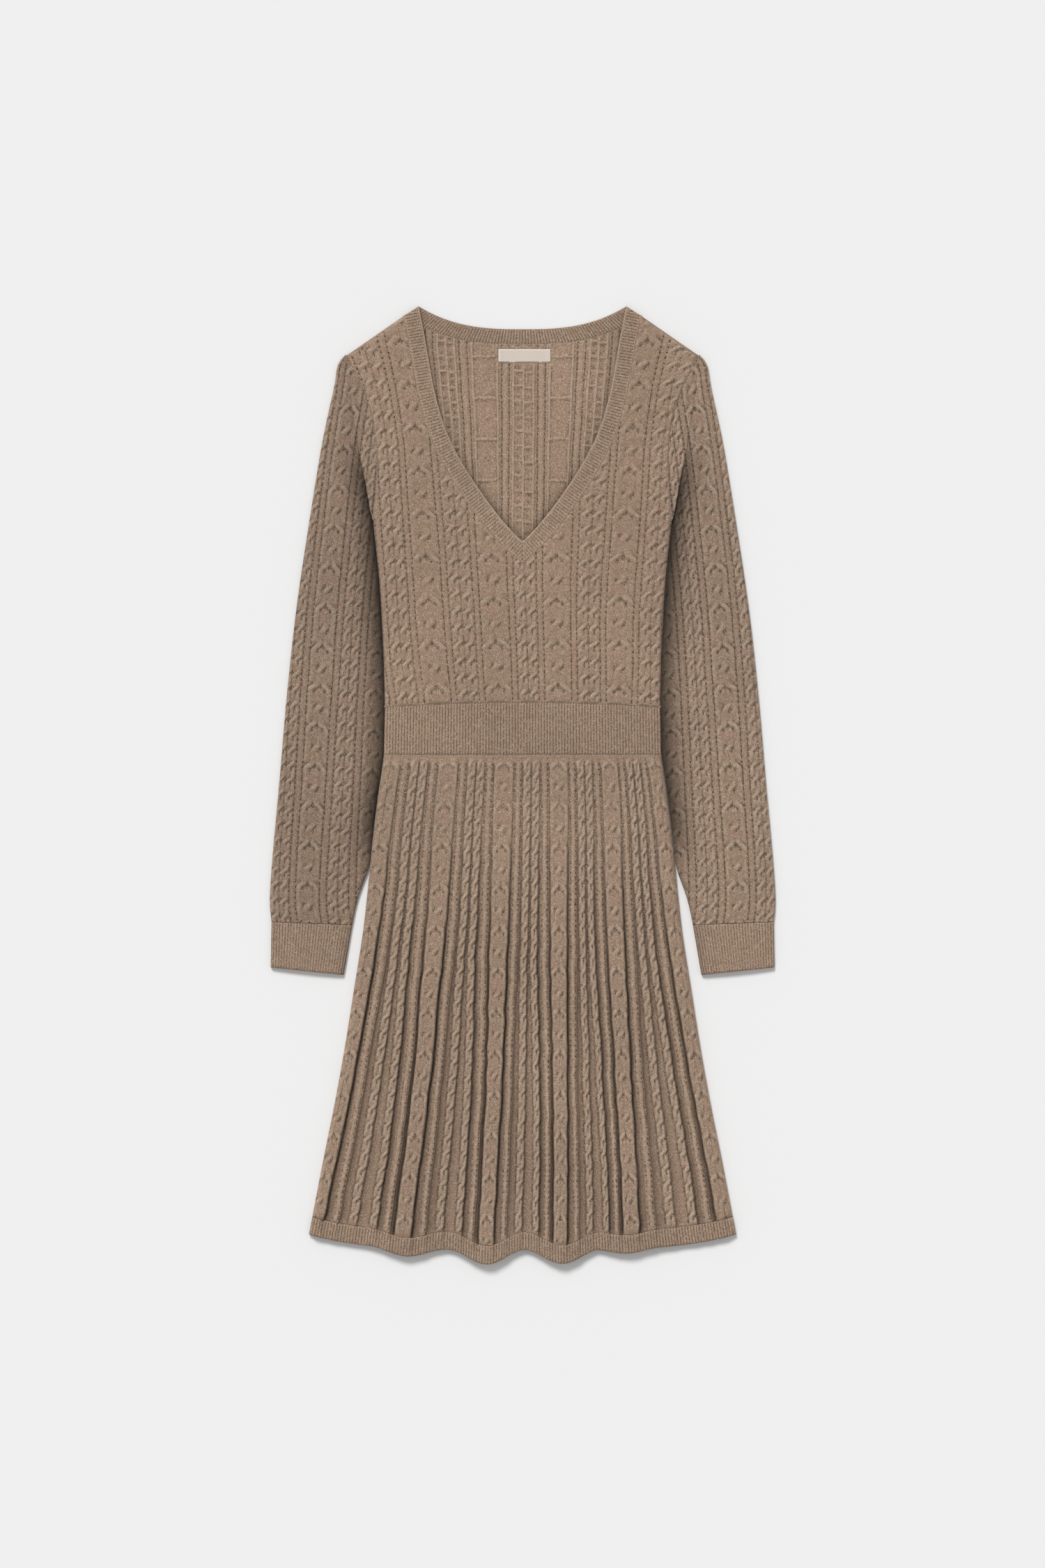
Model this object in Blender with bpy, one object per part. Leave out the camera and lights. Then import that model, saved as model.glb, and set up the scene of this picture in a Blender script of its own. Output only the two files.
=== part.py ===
"""Cable-knit sweater dress, laid flat on its back with the sleeves straight down beside it.

Each piece that is knitted and sewn on is one closed wall of cloth. The back panels lie flat on the
surface, the front panels lie on the back ones, and the sleeves and cuffs are flattened tubes.
Sizes are in millimetres in the plan of the laid garment: +X to the viewer's right, +Y towards the
neck, +Z up. Objects are written in metres. Left and right are as the viewer sees them.
"""
import bisect
import math

import bmesh
import bpy
from mathutils import Vector, geometry

MILLIMETRE = 0.001

# ---------------------------------------------------------------- driving sizes, in millimetres
TOP_Y = 469.0            # high point of the shoulder; the lowest hem wave mirrors it
WAIST_TOP = (81.7, 4.8)  # bodice seam: height at the middle, fall at the side
WAIST_LOW_Y = 29.0       # skirt seam
SEAM = 0.3               # space between two pieces at a seam
WALL = 2.0               # thickness of the plain knit
BACK_TOP = 2.0           # the back panels fill 0 to this height
FRONT_UNDER = BACK_TOP + SEAM
EDGE_DROP = 0.7          # how much a front panel thins at its outline
RINGS = (2.4, 7.0)       # distances from the outline of the rings that shape the rounded edge
BODY_DOME = 2.0          # lift of the front panels over the back ones, away from the folds
ROUNDING = 7.0           # width over which a fold rounds up to the full lift
CAP_LEVEL = 5.4          # top of the sleeve cap where it turns under
SLEEVE_CROWN = 1.5       # lift of the sleeve's middle over its edges
CUFF_CROWN = 1.1
HALF_NECK = 101.5        # centre to the inner corner of the neckband at the shoulder
SHOULDER_SLOPE = 0.64    # fall of the shoulder seam for each millimetre outwards
BAND_WIDTH = 16.5        # neckband
RIB_PITCH = 5.6          # two wales of the 1x1 rib
RIB_LIFT = 0.5           # crest over furrow
BAND_RAISE = 0.2         # rib furrows of the neckband and hem, over the plain knit's level
WAISTBAND_SINK = 0.3     # rib furrows of the waistband, under it
HEM_HEIGHT = 18.0
HEM_HALF = (205.9, 209.2)    # half width of the hem rib at its seam and at its edge
CUFF_RIBS = 14

BODY_SIDE = (
    # half_width, height: side fold of the body, armpit down to the hem
    (146.0, 256.7),
    (140.8, 207.5),
    (138.1, 168.5),
    (135.7, 116.6),
    (134.9, 77.2),
    (135.4, 53.0),
    (135.9, 29.0),
    (141.3, -9.0),
    (146.6, -52.0),
    (151.9, -105.0),
    (156.8, -147.0),
    (165.3, -201.0),
    (174.0, -256.0),
    (183.9, -311.0),
    (194.8, -365.0),
    (205.9, -422.9),
    (209.2, -440.0),
)
ARMHOLE = (
    # from_centre, height: armpit up to the shoulder point
    (146.0, 256.7),
    (143.2, 290.0),
    (142.2, 318.0),
    (143.6, 342.0),
    (147.2, 363.0),
    (154.5, 386.0),
    (162.0, 402.0),
    (172.3, 420.8),
)
SLEEVE_FOLD = (
    # from_centre, height: where the sleeve cap turns under, armpit up to the shoulder
    (146.6, 258.0),
    (149.0, 268.0),
    (153.6, 295.0),
    (160.6, 331.0),
    (165.4, 362.0),
    (171.5, 407.0),
)
SLEEVE_OUTER = (
    # from_centre, height: cuff up to the shoulder point
    (246.0, -134.0),
    (247.6, -112.0),
    (245.0, -70.0),
    (238.2, 4.0),
    (231.1, 86.0),
    (222.2, 168.0),
    (210.2, 250.0),
    (196.9, 332.0),
    (184.9, 389.0),
    (180.8, 412.0),
    (173.2, 421.6),
)
SLEEVE_INNER = (
    # from_centre, height: where the sleeve parts from the skirt, down to the cuff
    (152.3, -86.0),
    (161.5, -112.0),
    (167.0, -137.0),
)
CUFF_OUTER = (
    # from_centre, height: lower and upper corner
    (246.8, -178.6),
    (246.0, -134.3),
)
CUFF_INNER = (
    # from_centre, height: lower and upper corner
    (175.4, -186.0),
    (167.1, -137.3),
)
NECK_INNER = (
    # from_centre, height: shoulder down to the point of the V
    (HALF_NECK, TOP_Y),
    (95.9, 441.0),
    (91.9, 418.0),
    (85.7, 384.5),
    (75.9, 350.4),
    (63.6, 323.7),
    (50.6, 301.8),
    (34.5, 278.5),
    (20.6, 260.5),
    (8.9, 247.1),
    (0.0, 238.9),
)
BACK_NECK_DROP = 22.3    # centre back, top edge of the band under the shoulder point
BACK_BAND_WIDTH = 15.0
LABEL_SIZE = (50.8, 12.5, 0.6)
LABEL_CENTRE = (1.9, 420.8)

# ---------------------------------------------------------------- knit pattern
LANE_HEIGHTS = (80.0, 160.0, 240.0, 330.0, 391.0, 445.0)
LANES = (
    # kind, middle of the bodice lane at those heights: the wales fan out to the shoulders
    ("twin", (-112.0, -121.3, -126.7, -132.2, -143.2, -160.8)),
    ("braid", (-82.2, -90.7, -96.0, -102.9, -110.8, -121.3)),
    ("twin", (-52.6, -58.8, -64.1, -70.8, -76.0, -82.5)),
    ("braid", (-22.8, -26.9, -30.9, -34.8, -37.5, -40.0)),
    ("twin", (6.3, 3.8, 1.8, 1.3, 1.5, 2.0)),
    ("braid", (35.3, 33.8, 34.1, 36.5, 39.5, 42.5)),
    ("twin", (65.4, 64.3, 67.5, 72.5, 78.0, 84.5)),
    ("braid", (94.5, 94.9, 100.0, 106.1, 113.6, 124.3)),
    ("twin", (125.4, 125.0, 132.0, 137.3, 146.2, 164.3)),
)
TWIN = {"bodice": 19.0, "sleeve": 15.0}                    # width of a pair of small ropes
BRAID = {"bodice": 23.0, "skirt": 15.0, "sleeve": 17.0}    # width of a four-strand braid
ROPE_PERIOD = {"bodice": 15.9, "skirt": 14.7, "sleeve": 14.2}
BRAID_TO_ROPE = 2.75     # a braid repeats every 22 rows, a small rope every 8
ROPE_LIFT = 1.4
BRAID_LIFT = 1.7
BRAID_FORM = (
    # across, along, lift: the outer pairs cross in an arch, then the middle pair crosses
    (-0.33, -0.08, 1.0),
    (0.33, -0.08, 1.0),
    (0.0, 0.10, 0.8),
    (0.0, -0.14, 0.2),
    (-0.15, 0.40, 1.0),
    (0.15, 0.58, 1.0),
    (-0.36, 0.45, 0.55),
    (0.36, 0.55, 0.55),
)
SLEEVE_LANES = (
    # kind, distance in from the outer edge
    ("twin", 12.0),
    ("braid", 34.0),
    ("twin", 62.0),
)
SLEEVE_ROW_TILT = 0.10   # rows drop towards the body
RIDGE_WALE = 1.6         # half width of a ridge on the reverse of the knit
RIDGE_LIFT = 0.5
REVERSE_SPAN = (225.0, 408.0)    # heights between which the reverse shows in the neck

SKIRT_BRAIDS = (
    # at_waist, at_hem, flute: place as a share of the half width, and share of the flute height
    (-0.947, -0.985, 0.15),
    (-0.529, -0.560, 0.75),
    (-0.130, -0.168, 1.00),
    (0.260, 0.174, 1.00),
    (0.625, 0.500, 0.75),
    (0.952, 0.965, 0.15),
)
STRIPS = (
    # kind, width, share of the spare cloth in the furrow after it
    ("half_braid", 7.8, 0.20),
    ("lace", 7.4, 0.24),
    ("rope", 8.8, 0.26),
    ("rope", 8.8, 0.17),
    ("lace", 7.4, 0.13),
    ("half_braid", 7.8, 0.0),
)
STRIP_LIFT = {"half_braid": 2.3, "lace": 1.7, "rope": 1.2}
FLUTE_HEIGHT = 4.0
BACK_SHARE = 0.6         # how far the back skirt rises into the front's flutes
HEM_ARC = (-455.0, 15.0)         # height at the middle, rise at the side
HEM_WAVES = (
    # from_centre, half_width, drop
    (-113.0, 38.0, 7.4),
    (-35.0, 38.0, 14.0),
    (39.0, 38.0, 13.3),
    (102.0, 34.0, 4.2),
)

COLOURS = {
    "knit": (0.285, 0.209, 0.155),
    "rib": (0.296, 0.219, 0.163),
    "label": (0.680, 0.605, 0.530),
}


# ---------------------------------------------------------------- small tools
def smooth(edge_0, edge_1, value):
    """0 at edge_0, 1 at edge_1, and an S curve between."""
    t = min(max((value - edge_0) / (edge_1 - edge_0), 0.0), 1.0)
    return t * t * (3.0 - 2.0 * t)


def mix(a, b, t):
    return a + (b - a) * t


def between(a, b, count):
    """The points that cut the line from a to b into count equal lengths, without its ends."""
    return [(mix(a[0], b[0], i / count), mix(a[1], b[1], i / count)) for i in range(1, count)]


def look_up(table, key):
    """Second column of a table with rising first column, straight between its rows."""
    at = bisect.bisect_left(table, (key,))
    if at == 0:
        return table[0][1]
    if at == len(table):
        return table[-1][1]
    (low, from_value), (high, to_value) = table[at - 1], table[at]
    return mix(from_value, to_value, (key - low) / (high - low))


def curve_through(points, step):
    """Catmull-Rom curve through the points, with a point about every step."""
    ends = [points[0], *points, points[-1]]
    result = []
    for four in zip(ends, ends[1:], ends[2:], ends[3:]):
        count = max(1, round(math.dist(four[1], four[2]) / step))
        for i in range(count):
            t = i / count
            result.append(tuple(catmull_rom(*axis, t) for axis in zip(*four)))
    result.append(tuple(points[-1]))
    return result


def catmull_rom(a, b, c, d, t):
    square = (2 * a - 5 * b + 4 * c - d) * t * t
    cube = (3 * b - a - 3 * c + d) * t ** 3
    return 0.5 * (2 * b + (c - a) * t + square + cube)


def by_height(points):
    """Rows of (height, from_centre), rising, for look_up."""
    return sorted((y, x) for x, y in points)


def mirrored(points):
    return [(-x, y) for x, y in reversed(points)]


def along(curve, t):
    """The point at share t of a curve's length."""
    lengths = [math.dist(a, b) for a, b in zip(curve, curve[1:])]
    goal = t * sum(lengths)
    for a, b, length in zip(curve, curve[1:], lengths):
        if goal <= length:
            return mix(a[0], b[0], goal / length), mix(a[1], b[1], goal / length)
        goal -= length
    return curve[-1]


def inside(outline, x, y):
    hit = False
    for (x0, y0), (x1, y1) in zip(outline, outline[1:] + outline[:1]):
        if (y0 > y) != (y1 > y) and x < x0 + (y - y0) * (x1 - x0) / (y1 - y0):
            hit = not hit
    return hit


def edge_distance(outline, x, y):
    """Distance from (x, y) to the nearest point of the outline."""
    best = math.inf
    for (x0, y0), (x1, y1) in zip(outline, outline[1:] + outline[:1]):
        dx, dy = x1 - x0, y1 - y0
        t = min(max(((x - x0) * dx + (y - y0) * dy) / (dx * dx + dy * dy), 0.0), 1.0)
        best = min(best, math.hypot(x - x0 - t * dx, y - y0 - t * dy))
    return best


def moved_in(outline, index, distance):
    """A corner of an anticlockwise outline, moved inwards."""
    before, here = outline[index - 1], outline[index]
    after = outline[(index + 1) % len(outline)]
    ahead = (Vector(after) - Vector(before)).normalized()
    return here[0] - ahead.y * distance, here[1] + ahead.x * distance


def inset_ring(outline, distance):
    """The outline's corners moved inwards, without those that would crowd another side."""
    ring = [moved_in(outline, i, distance) for i in range(len(outline))]
    return [
        (x, y, 0.0) for x, y in ring
        if inside(outline, x, y) and edge_distance(outline, x, y) > 0.8 * distance
    ]


# ---------------------------------------------------------------- outlines
BODY_CURVE = curve_through(BODY_SIDE, 22.0)
BODY_HALF = by_height(BODY_CURVE)
ARMHOLE_CURVE = curve_through(ARMHOLE, 14.0)
OUTER_CURVE = curve_through(SLEEVE_OUTER, 18.0)
OUTER_X = by_height(OUTER_CURVE)
FOLD_X = by_height(SLEEVE_FOLD)
ARMPIT_Y = ARMHOLE[0][1]


def body_half_width(y):
    return look_up(BODY_HALF, y)


def side_between(low, high):
    """Right side fold between two heights, upwards."""
    middle = [(x, y) for y, x in BODY_HALF if low + 1.0 < y < high - 1.0]
    return [(body_half_width(low), low), *middle, (body_half_width(high), high)]


def side_limit(y):
    """Half width of the body, out to the fold of the sleeve cap above the armpit."""
    return look_up(FOLD_X, y) if y > FOLD_X[0][0] else body_half_width(y)


def waist_seam():
    """Top edge of the waistband, left to right."""
    middle, fall = WAIST_TOP
    half = body_half_width(middle - fall)
    return [(half * i / 6, middle - fall * (i / 6) ** 2) for i in range(-6, 7)]


def bodice_side():
    """Right edge of both bodice panels, waist up to the shoulder point."""
    return side_between(WAIST_TOP[0] - WAIST_TOP[1] + SEAM, ARMPIT_Y)[:-1] + ARMHOLE_CURVE


def neck_curve():
    """Inner edge of the V neckband, shoulder to point, on the right side."""
    return curve_through(NECK_INNER, 8.0)


def neck_offset(distance):
    """The neck curve moved away from the centre, from the shoulder seam to the centre line."""
    curve = neck_curve()
    offset = []
    for before, after, here in zip(curve, curve[2:], curve[1:]):
        ahead = (Vector(after) - Vector(before)).normalized()
        offset.append((here[0] - ahead.y * distance, here[1] + ahead.x * distance))
    lead = (Vector(curve[0]) - Vector(curve[1])).normalized()
    out = distance / (lead.y + lead.x * SHOULDER_SLOPE)
    first = (HALF_NECK + out, TOP_Y - out * SHOULDER_SLOPE)
    slope = Vector(curve[-1]) - Vector(curve[-2])
    point = (0.0, curve[-1][1] - distance * slope.length / abs(slope.x))
    return [first, *[p for p in offset if p[0] > 1.5 and p[1] > point[1] + 1.0], point]


def back_neck(distance):
    """Back neck edge from right to left, distance below the band's top edge."""
    half = HALF_NECK + distance
    top = TOP_Y - distance * SHOULDER_SLOPE
    drop = BACK_NECK_DROP + distance * (1.0 - SHOULDER_SLOPE)
    angles = [math.pi * i / 16 for i in range(17)]
    return [(half * math.cos(a), top - drop * (1.0 - abs(math.cos(a)) ** 2.8)) for a in angles]


def hem_edge(x):
    """Height of the hem's lower edge."""
    middle, rise = HEM_ARC
    y = middle + rise * (abs(x) / HEM_HALF[1]) ** 4
    for centre, half, drop in HEM_WAVES:
        if abs(x - centre) < half:
            y -= drop * math.cos((x - centre) / half * math.pi / 2) ** 2
    return y


HEM_SEAM = [
    (x, hem_edge(x) + HEM_HEIGHT) for x in [HEM_HALF[0] * i / 19 for i in range(-19, 20)]
]


# ---------------------------------------------------------------- levels
def dome(x, y):
    """How far a front panel stands off the back one; it rounds down at the folds and shoulders."""
    below_shoulder = TOP_Y - SHOULDER_SLOPE * (abs(x) - HALF_NECK) - y
    shoulder = below_shoulder / math.hypot(1.0, SHOULDER_SLOPE)
    near = min(max(min(side_limit(y) - abs(x), shoulder) / ROUNDING, 0.0), 1.0)
    return BODY_DOME * math.sin(near * math.pi / 2)


def skirt_place(y):
    """0 at the waist seam, 1 at the hem."""
    return min(max((WAIST_LOW_Y - y) / (WAIST_LOW_Y - HEM_ARC[0]), 0.0), 1.0)


def braid_centre(index, y):
    at_waist, at_hem, _ = SKIRT_BRAIDS[index]
    return mix(at_waist, at_hem, skirt_place(y)) * body_half_width(y)


def flute(x, y):
    """Lift of the skirt's large folds, which open towards the hem."""
    lift = 0.0
    for index, (_, _, share) in enumerate(SKIRT_BRAIDS):
        centre = braid_centre(index, y)
        other = index + (1 if x > centre else -1)
        if 0 <= other < len(SKIRT_BRAIDS):
            reach = abs(braid_centre(other, y) - centre) * 0.62
            t = min(abs(x - centre) / reach, 1.0)
            lift = max(lift, share * 0.5 * (1.0 + math.cos(math.pi * t)))
    return FLUTE_HEIGHT * smooth(0.12, 1.0, skirt_place(y)) * lift


def front_under(x, y):
    return FRONT_UNDER + dome(x, y) + flute(x, y)


def front_outer(x, y):
    return front_under(x, y) + WALL


def raised_outer(x, y):
    return front_outer(x, y) + BAND_RAISE


def sunk_outer(x, y):
    return front_outer(x, y) - WAISTBAND_SINK


def back_outer(x, y):
    return BACK_TOP + BACK_SHARE * flute(x, y)


def on_floor(_x, _y):
    return 0.0


def sleeve_limit(y):
    """Where the sleeve comes out: the cap's fold, the body's side, or its own free inner edge."""
    if y < SLEEVE_INNER[0][1]:
        return look_up(by_height(SLEEVE_INNER), y)
    return side_limit(y)


def sleeve_roof(x, y):
    limit = sleeve_limit(y)
    across = min(max((x - limit) / (look_up(OUTER_X, y) - limit), 0.0), 1.0)
    return FRONT_UNDER + SLEEVE_CROWN * math.sin(math.pi * across)


def sleeve_outer(x, y):
    """The cap goes on at the body's level as far as its fold, and the sleeve lies lower beyond."""
    if y > ARMPIT_Y and x < sleeve_limit(y):
        return max(front_outer(x, y), CAP_LEVEL)
    return sleeve_roof(x, y) + WALL


def cuff_roof(x, y):
    inner = look_up(by_height(CUFF_INNER), y)
    across = (x - inner) / (look_up(by_height(CUFF_OUTER), y) - inner)
    return FRONT_UNDER + CUFF_CROWN * math.sin(math.pi * min(max(across, 0.0), 1.0))


# ---------------------------------------------------------------- walls of cloth
class Relief:
    """Points of a wall's outer side, each with its lift, and the creases that join them."""

    def __init__(self, outline, clear):
        self.outline = outline
        self.clear = clear
        self.places = []
        self.creases = []

    def add(self, x, y, lift):
        """Index of the new point, or None where it would crowd the outline."""
        if not inside(self.outline, x, y) or edge_distance(self.outline, x, y) < self.clear:
            return None
        self.places.append((x, y, lift))
        return len(self.places) - 1

    def crease(self, places):
        """A line of points; it breaks where a point falls outside."""
        last = None
        for x, y, lift in places:
            here = self.add(x, y, lift)
            if here is not None and last is not None:
                self.creases.append((last, here))
            last = here


def finish(name, bm, kind, garment):
    """One named object from a bmesh in metres."""
    mesh = bpy.data.meshes.new(name)
    bm.to_mesh(mesh)
    bm.free()
    mesh.shade_smooth()
    mesh.set_sharp_from_angle(angle=math.radians(50))
    made = bpy.data.objects.new(name, mesh)
    dress(made, kind, garment)


def dress(made, kind, garment):
    """Puts an object in the garment's collection with a material of its own."""
    cloth = bpy.data.materials.new(made.name)
    cloth.use_nodes = True
    shader = cloth.node_tree.nodes["Principled BSDF"]
    shader.inputs["Base Color"].default_value = (*COLOURS[kind], 1.0)
    shader.inputs["Roughness"].default_value = 0.9
    shader.inputs["Metallic"].default_value = 0.0
    made.data.materials.append(cloth)
    garment.objects.link(made)


def surface(bm, outline, places, creases, height, edge_lift, facing_down):
    """Adds one triangulated side of a wall; returns its vertices along the outline, in order."""
    count = len(outline)
    corners = [Vector(p[:2]) for p in [*outline, *places]]
    edges = [(a + count, b + count) for a, b in creases]
    found, _, faces, origins, _, _ = geometry.delaunay_2d_cdt(
        corners, edges, [list(range(count))], 1, 1e-4
    )
    rim = [None] * count
    verts = []
    for place, origin in zip(found, origins):
        index = origin[0] if origin else None
        lift = 0.0
        if index is not None:
            lift = edge_lift if index < count else places[index - count][2]
        level = height(place.x, place.y) + lift
        verts.append(bm.verts.new(Vector((place.x, place.y, level)) * MILLIMETRE))
        if index is not None and index < count:
            rim[index] = verts[-1]
    for face in faces:
        loop = [verts[i] for i in face]
        bm.faces.new(reversed(loop) if facing_down else loop)
    return rim


def cloth_wall(name, relief, under, outer_height, under_height, garment, kind="knit", drop=EDGE_DROP):
    """A panel: a relief outer side over a plain inside, closed round its outline."""
    bm = bmesh.new()
    outline = relief.outline
    top = surface(bm, outline, relief.places, relief.creases, outer_height, -drop, False)
    low = surface(bm, outline, under, [], under_height, 0.0, True)
    for i, vert in enumerate(top):
        j = (i + 1) % len(top)
        bm.faces.new((low[i], low[j], top[j], vert))
    finish(name, bm, kind, garment)


def zip_up(bm, chain_a, chain_b):
    """Triangles between two chains of (place along, vertex) with unlike counts."""
    i = j = 0
    while i < len(chain_a) - 1 or j < len(chain_b) - 1:
        next_a = chain_a[i + 1][0] if i < len(chain_a) - 1 else math.inf
        next_b = chain_b[j + 1][0] if j < len(chain_b) - 1 else math.inf
        if next_a <= next_b:
            bm.faces.new((chain_a[i][1], chain_b[j][1], chain_a[i + 1][1]))
            i += 1
        else:
            bm.faces.new((chain_a[i][1], chain_b[j][1], chain_b[j + 1][1]))
            j += 1


def ribbed_strip(name, edges, ribs, outer_height, under_height, garment, under_stations=24):
    """A band of rib over a plain inside; its wales run from one edge to the other.

    Each edge is a function from 0..1 along the band to a point.
    """
    bm = bmesh.new()
    sides = []
    for stations, height, crest in (
        (2 * ribs, outer_height, RIB_LIFT),
        (under_stations, under_height, 0.0),
    ):
        for edge in edges:
            chain = []
            for i in range(stations + 1):
                x, y = edge(i / stations)
                level = height(x, y) + (crest if i % 2 else 0.0)
                chain.append((i / stations, bm.verts.new(Vector((x, y, level)) * MILLIMETRE)))
            sides.append(chain)
    outer_a, outer_b, under_a, under_b = sides
    for chain_a, chain_b in ((outer_a, outer_b), (under_b, under_a)):
        for (_, p), (_, q), (_, r), (_, s) in zip(chain_a, chain_a[1:], chain_b[1:], chain_b):
            bm.faces.new((p, q, r, s))
    zip_up(bm, outer_a, under_a)
    zip_up(bm, under_b, outer_b)
    for end in (0, -1):
        bm.faces.new((outer_b[end][1], outer_a[end][1], under_a[end][1], under_b[end][1]))
    bmesh.ops.recalc_face_normals(bm, faces=bm.faces)
    finish(name, bm, "rib", garment)


HOLLOW = (
    # place_across, order in joining to a mouth
    (0.0, 0.0),
    (0.33, 0.04),
    (0.67, 0.30),
    (1.0, 1.0),
)


def tube(name, side, edges, relief, outer_height, roof_height, stations, garment, kind="knit"):
    """A flattened tube, open at both mouths.

    edges holds the outer edge upwards, the upper mouth, the inner edge downwards and the lower
    mouth, anticlockwise; the mouths leave out their corners. Side -1 mirrors the tube.
    """
    outer, high, inner, low = edges
    outline = relief.outline
    bm = bmesh.new()
    top = surface(bm, outline, relief.places, relief.creases, outer_height, -EDGE_DROP, False)
    base = surface(bm, outline, [], [], on_floor, 0.0, True)
    inner_start = len(outer) + len(high)
    inner_stop = inner_start + len(inner)
    for edge in (range(len(outer)), range(inner_start, inner_stop)):
        for i, j in zip(edge, edge[1:]):
            bm.faces.new((base[i], base[j], top[j], top[i]))

    def stand(x, y, order):
        """Floor and roof vertices of the hollow at one place."""
        floor = bm.verts.new(Vector((x, y, BACK_TOP)) * MILLIMETRE)
        roof = bm.verts.new(Vector((x, y, roof_height(x, y))) * MILLIMETRE)
        return order, floor, roof

    low_mouth = [*range(inner_stop - 1, len(outline)), 0]
    high_mouth = list(range(len(outer) - 1, inner_start + 1))[::-1]
    rows = []
    for mouth in (low_mouth, high_mouth):
        row = []
        for k, index in enumerate(mouth):
            at_end = k in (0, len(mouth) - 1)
            x, y = moved_in(outline, index, WALL) if at_end else outline[index]
            row.append(stand(x, y, k / (len(mouth) - 1)))
        rows.append(row)
        for i, j, (_, floor_i, roof_i), (_, floor_j, roof_j) in zip(mouth, mouth[1:], row, row[1:]):
            bm.faces.new((top[i], top[j], roof_j, roof_i))
            bm.faces.new((floor_i, floor_j, base[j], base[i]))
        for index, (_, floor, roof) in ((mouth[0], row[0]), (mouth[-1], row[-1])):
            bm.faces.new((base[index], top[index], roof, floor))
    for s in range(1, stations):
        a = inner[::-1][round(s / stations * (len(inner) - 1))]
        b = outer[round(s / stations * (len(outer) - 1))]
        row = []
        for share, order in HOLLOW:
            row.append(stand(mix(a[0] + WALL, b[0] - WALL, share), mix(a[1], b[1], share), order))
        rows.insert(-1, row)
    for row, after in zip(rows, rows[1:]):
        for side_of in (1, 2):
            zip_up(bm, [(p[0], p[side_of]) for p in row], [(p[0], p[side_of]) for p in after])
        for end in (0, -1):
            bm.faces.new((row[end][1], row[end][2], after[end][2], after[end][1]))
    bmesh.ops.scale(bm, vec=(side, 1.0, 1.0), verts=bm.verts)
    bmesh.ops.recalc_face_normals(bm, faces=bm.faces)
    finish(name, bm, kind, garment)


# ---------------------------------------------------------------- knit relief
def level_row(_x, y):
    return y


def no_base(_y):
    return 0.0


def valley(relief, line, step, span, row=level_row, lift=no_base):
    """A furrow or ridge line that follows a lane; line gives its place at each height."""
    low, high = span
    count = max(2, round((high - low) / step))
    ys = [mix(low, high, i / count) for i in range(count + 1)]
    relief.crease([(line(y), row(line(y), y), lift(y)) for y in ys])


def rope(relief, centre, period, span, row=level_row, base=no_base, lift=ROPE_LIFT):
    """A two-strand rope: high where a strand passes over, low where it goes under."""
    low, high = span
    for k in range(int((high - low) / period)):
        y = low + (k + 0.5) * period
        for across, along_lane, share in ((0.9, 0.15, 1.0), (-0.9, -0.35, 0.35)):
            x = centre(y) + across
            relief.add(x, row(x, y + along_lane * period), base(y) + share * lift)


def braid(relief, centre, width, period, span, row=level_row, base=no_base, lift=BRAID_LIFT):
    """A four-strand braid."""
    low, high = span
    for k in range(math.ceil((high - low) / period)):
        for across, along_lane, share in BRAID_FORM:
            y = low + (k + 0.3 + along_lane) * period
            if low < y < high:
                x = centre(y) + across * width
                relief.add(x, row(x, y), base(y) + share * lift)


def shifted(line, shift):
    return lambda y: line(y) + shift


def cable_lane(relief, kind, centre, widths, period, span, step, row=level_row, lifts=(1.0, 1.0)):
    """A pair of small ropes or one braid, between furrows."""
    if kind == "twin":
        width = widths[0]
        for side in (-0.25, 0.25):
            rope(relief, shifted(centre, side * width), period, span, row, lift=ROPE_LIFT * lifts[0])
        furrows = (-0.5, 0.0, 0.5)
    else:
        width = widths[1]
        braid(relief, centre, width, period * BRAID_TO_ROPE, span, row, lift=BRAID_LIFT * lifts[1])
        furrows = (-0.5, 0.5)
    for furrow in furrows:
        valley(relief, shifted(centre, furrow * width), step, (span[0] + 4.0, span[1]), row)


# ---------------------------------------------------------------- bodice and neck
def lane_centre(index):
    """Place of a lane's middle at each height."""
    table = list(zip(LANE_HEIGHTS, LANES[index][1]))
    return lambda y: look_up(table, y)


def bodice_low():
    """Lower edge of both bodice panels, left to right, without its corners."""
    return [(x, y + SEAM) for x, y in waist_seam()[1:-1]]


def bodice_front(garment):
    side = bodice_side()
    seam = neck_offset(BAND_WIDTH + SEAM)
    outline = bodice_low() + side + seam + mirrored(seam)[1:] + mirrored(side)
    relief = Relief(outline, RINGS[0] + 1.0)
    period = ROPE_PERIOD["bodice"]
    widths = (TWIN["bodice"], BRAID["bodice"])
    for index, (kind, _) in enumerate(LANES):
        cable_lane(relief, kind, lane_centre(index), widths, period,
                   (WAIST_TOP[0] - 4.0, TOP_Y), 1.5 * period)
    for distance in RINGS:
        relief.places += inset_ring(outline, distance)
    grid = [(x, y) for x in range(-120, 121, 30) for y in range(100, 420, 40)]
    under = [(x, y, 0.0) for x, y in grid if inside(outline, x, y) and edge_distance(outline, x, y) > 12.0]
    under += inset_ring(outline, RINGS[1])
    cloth_wall("bodice_front", relief, under, front_outer, front_under, garment)


def ridge_lift(y):
    low, high = REVERSE_SPAN
    return RIDGE_LIFT if low < y < high else 0.0


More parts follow.
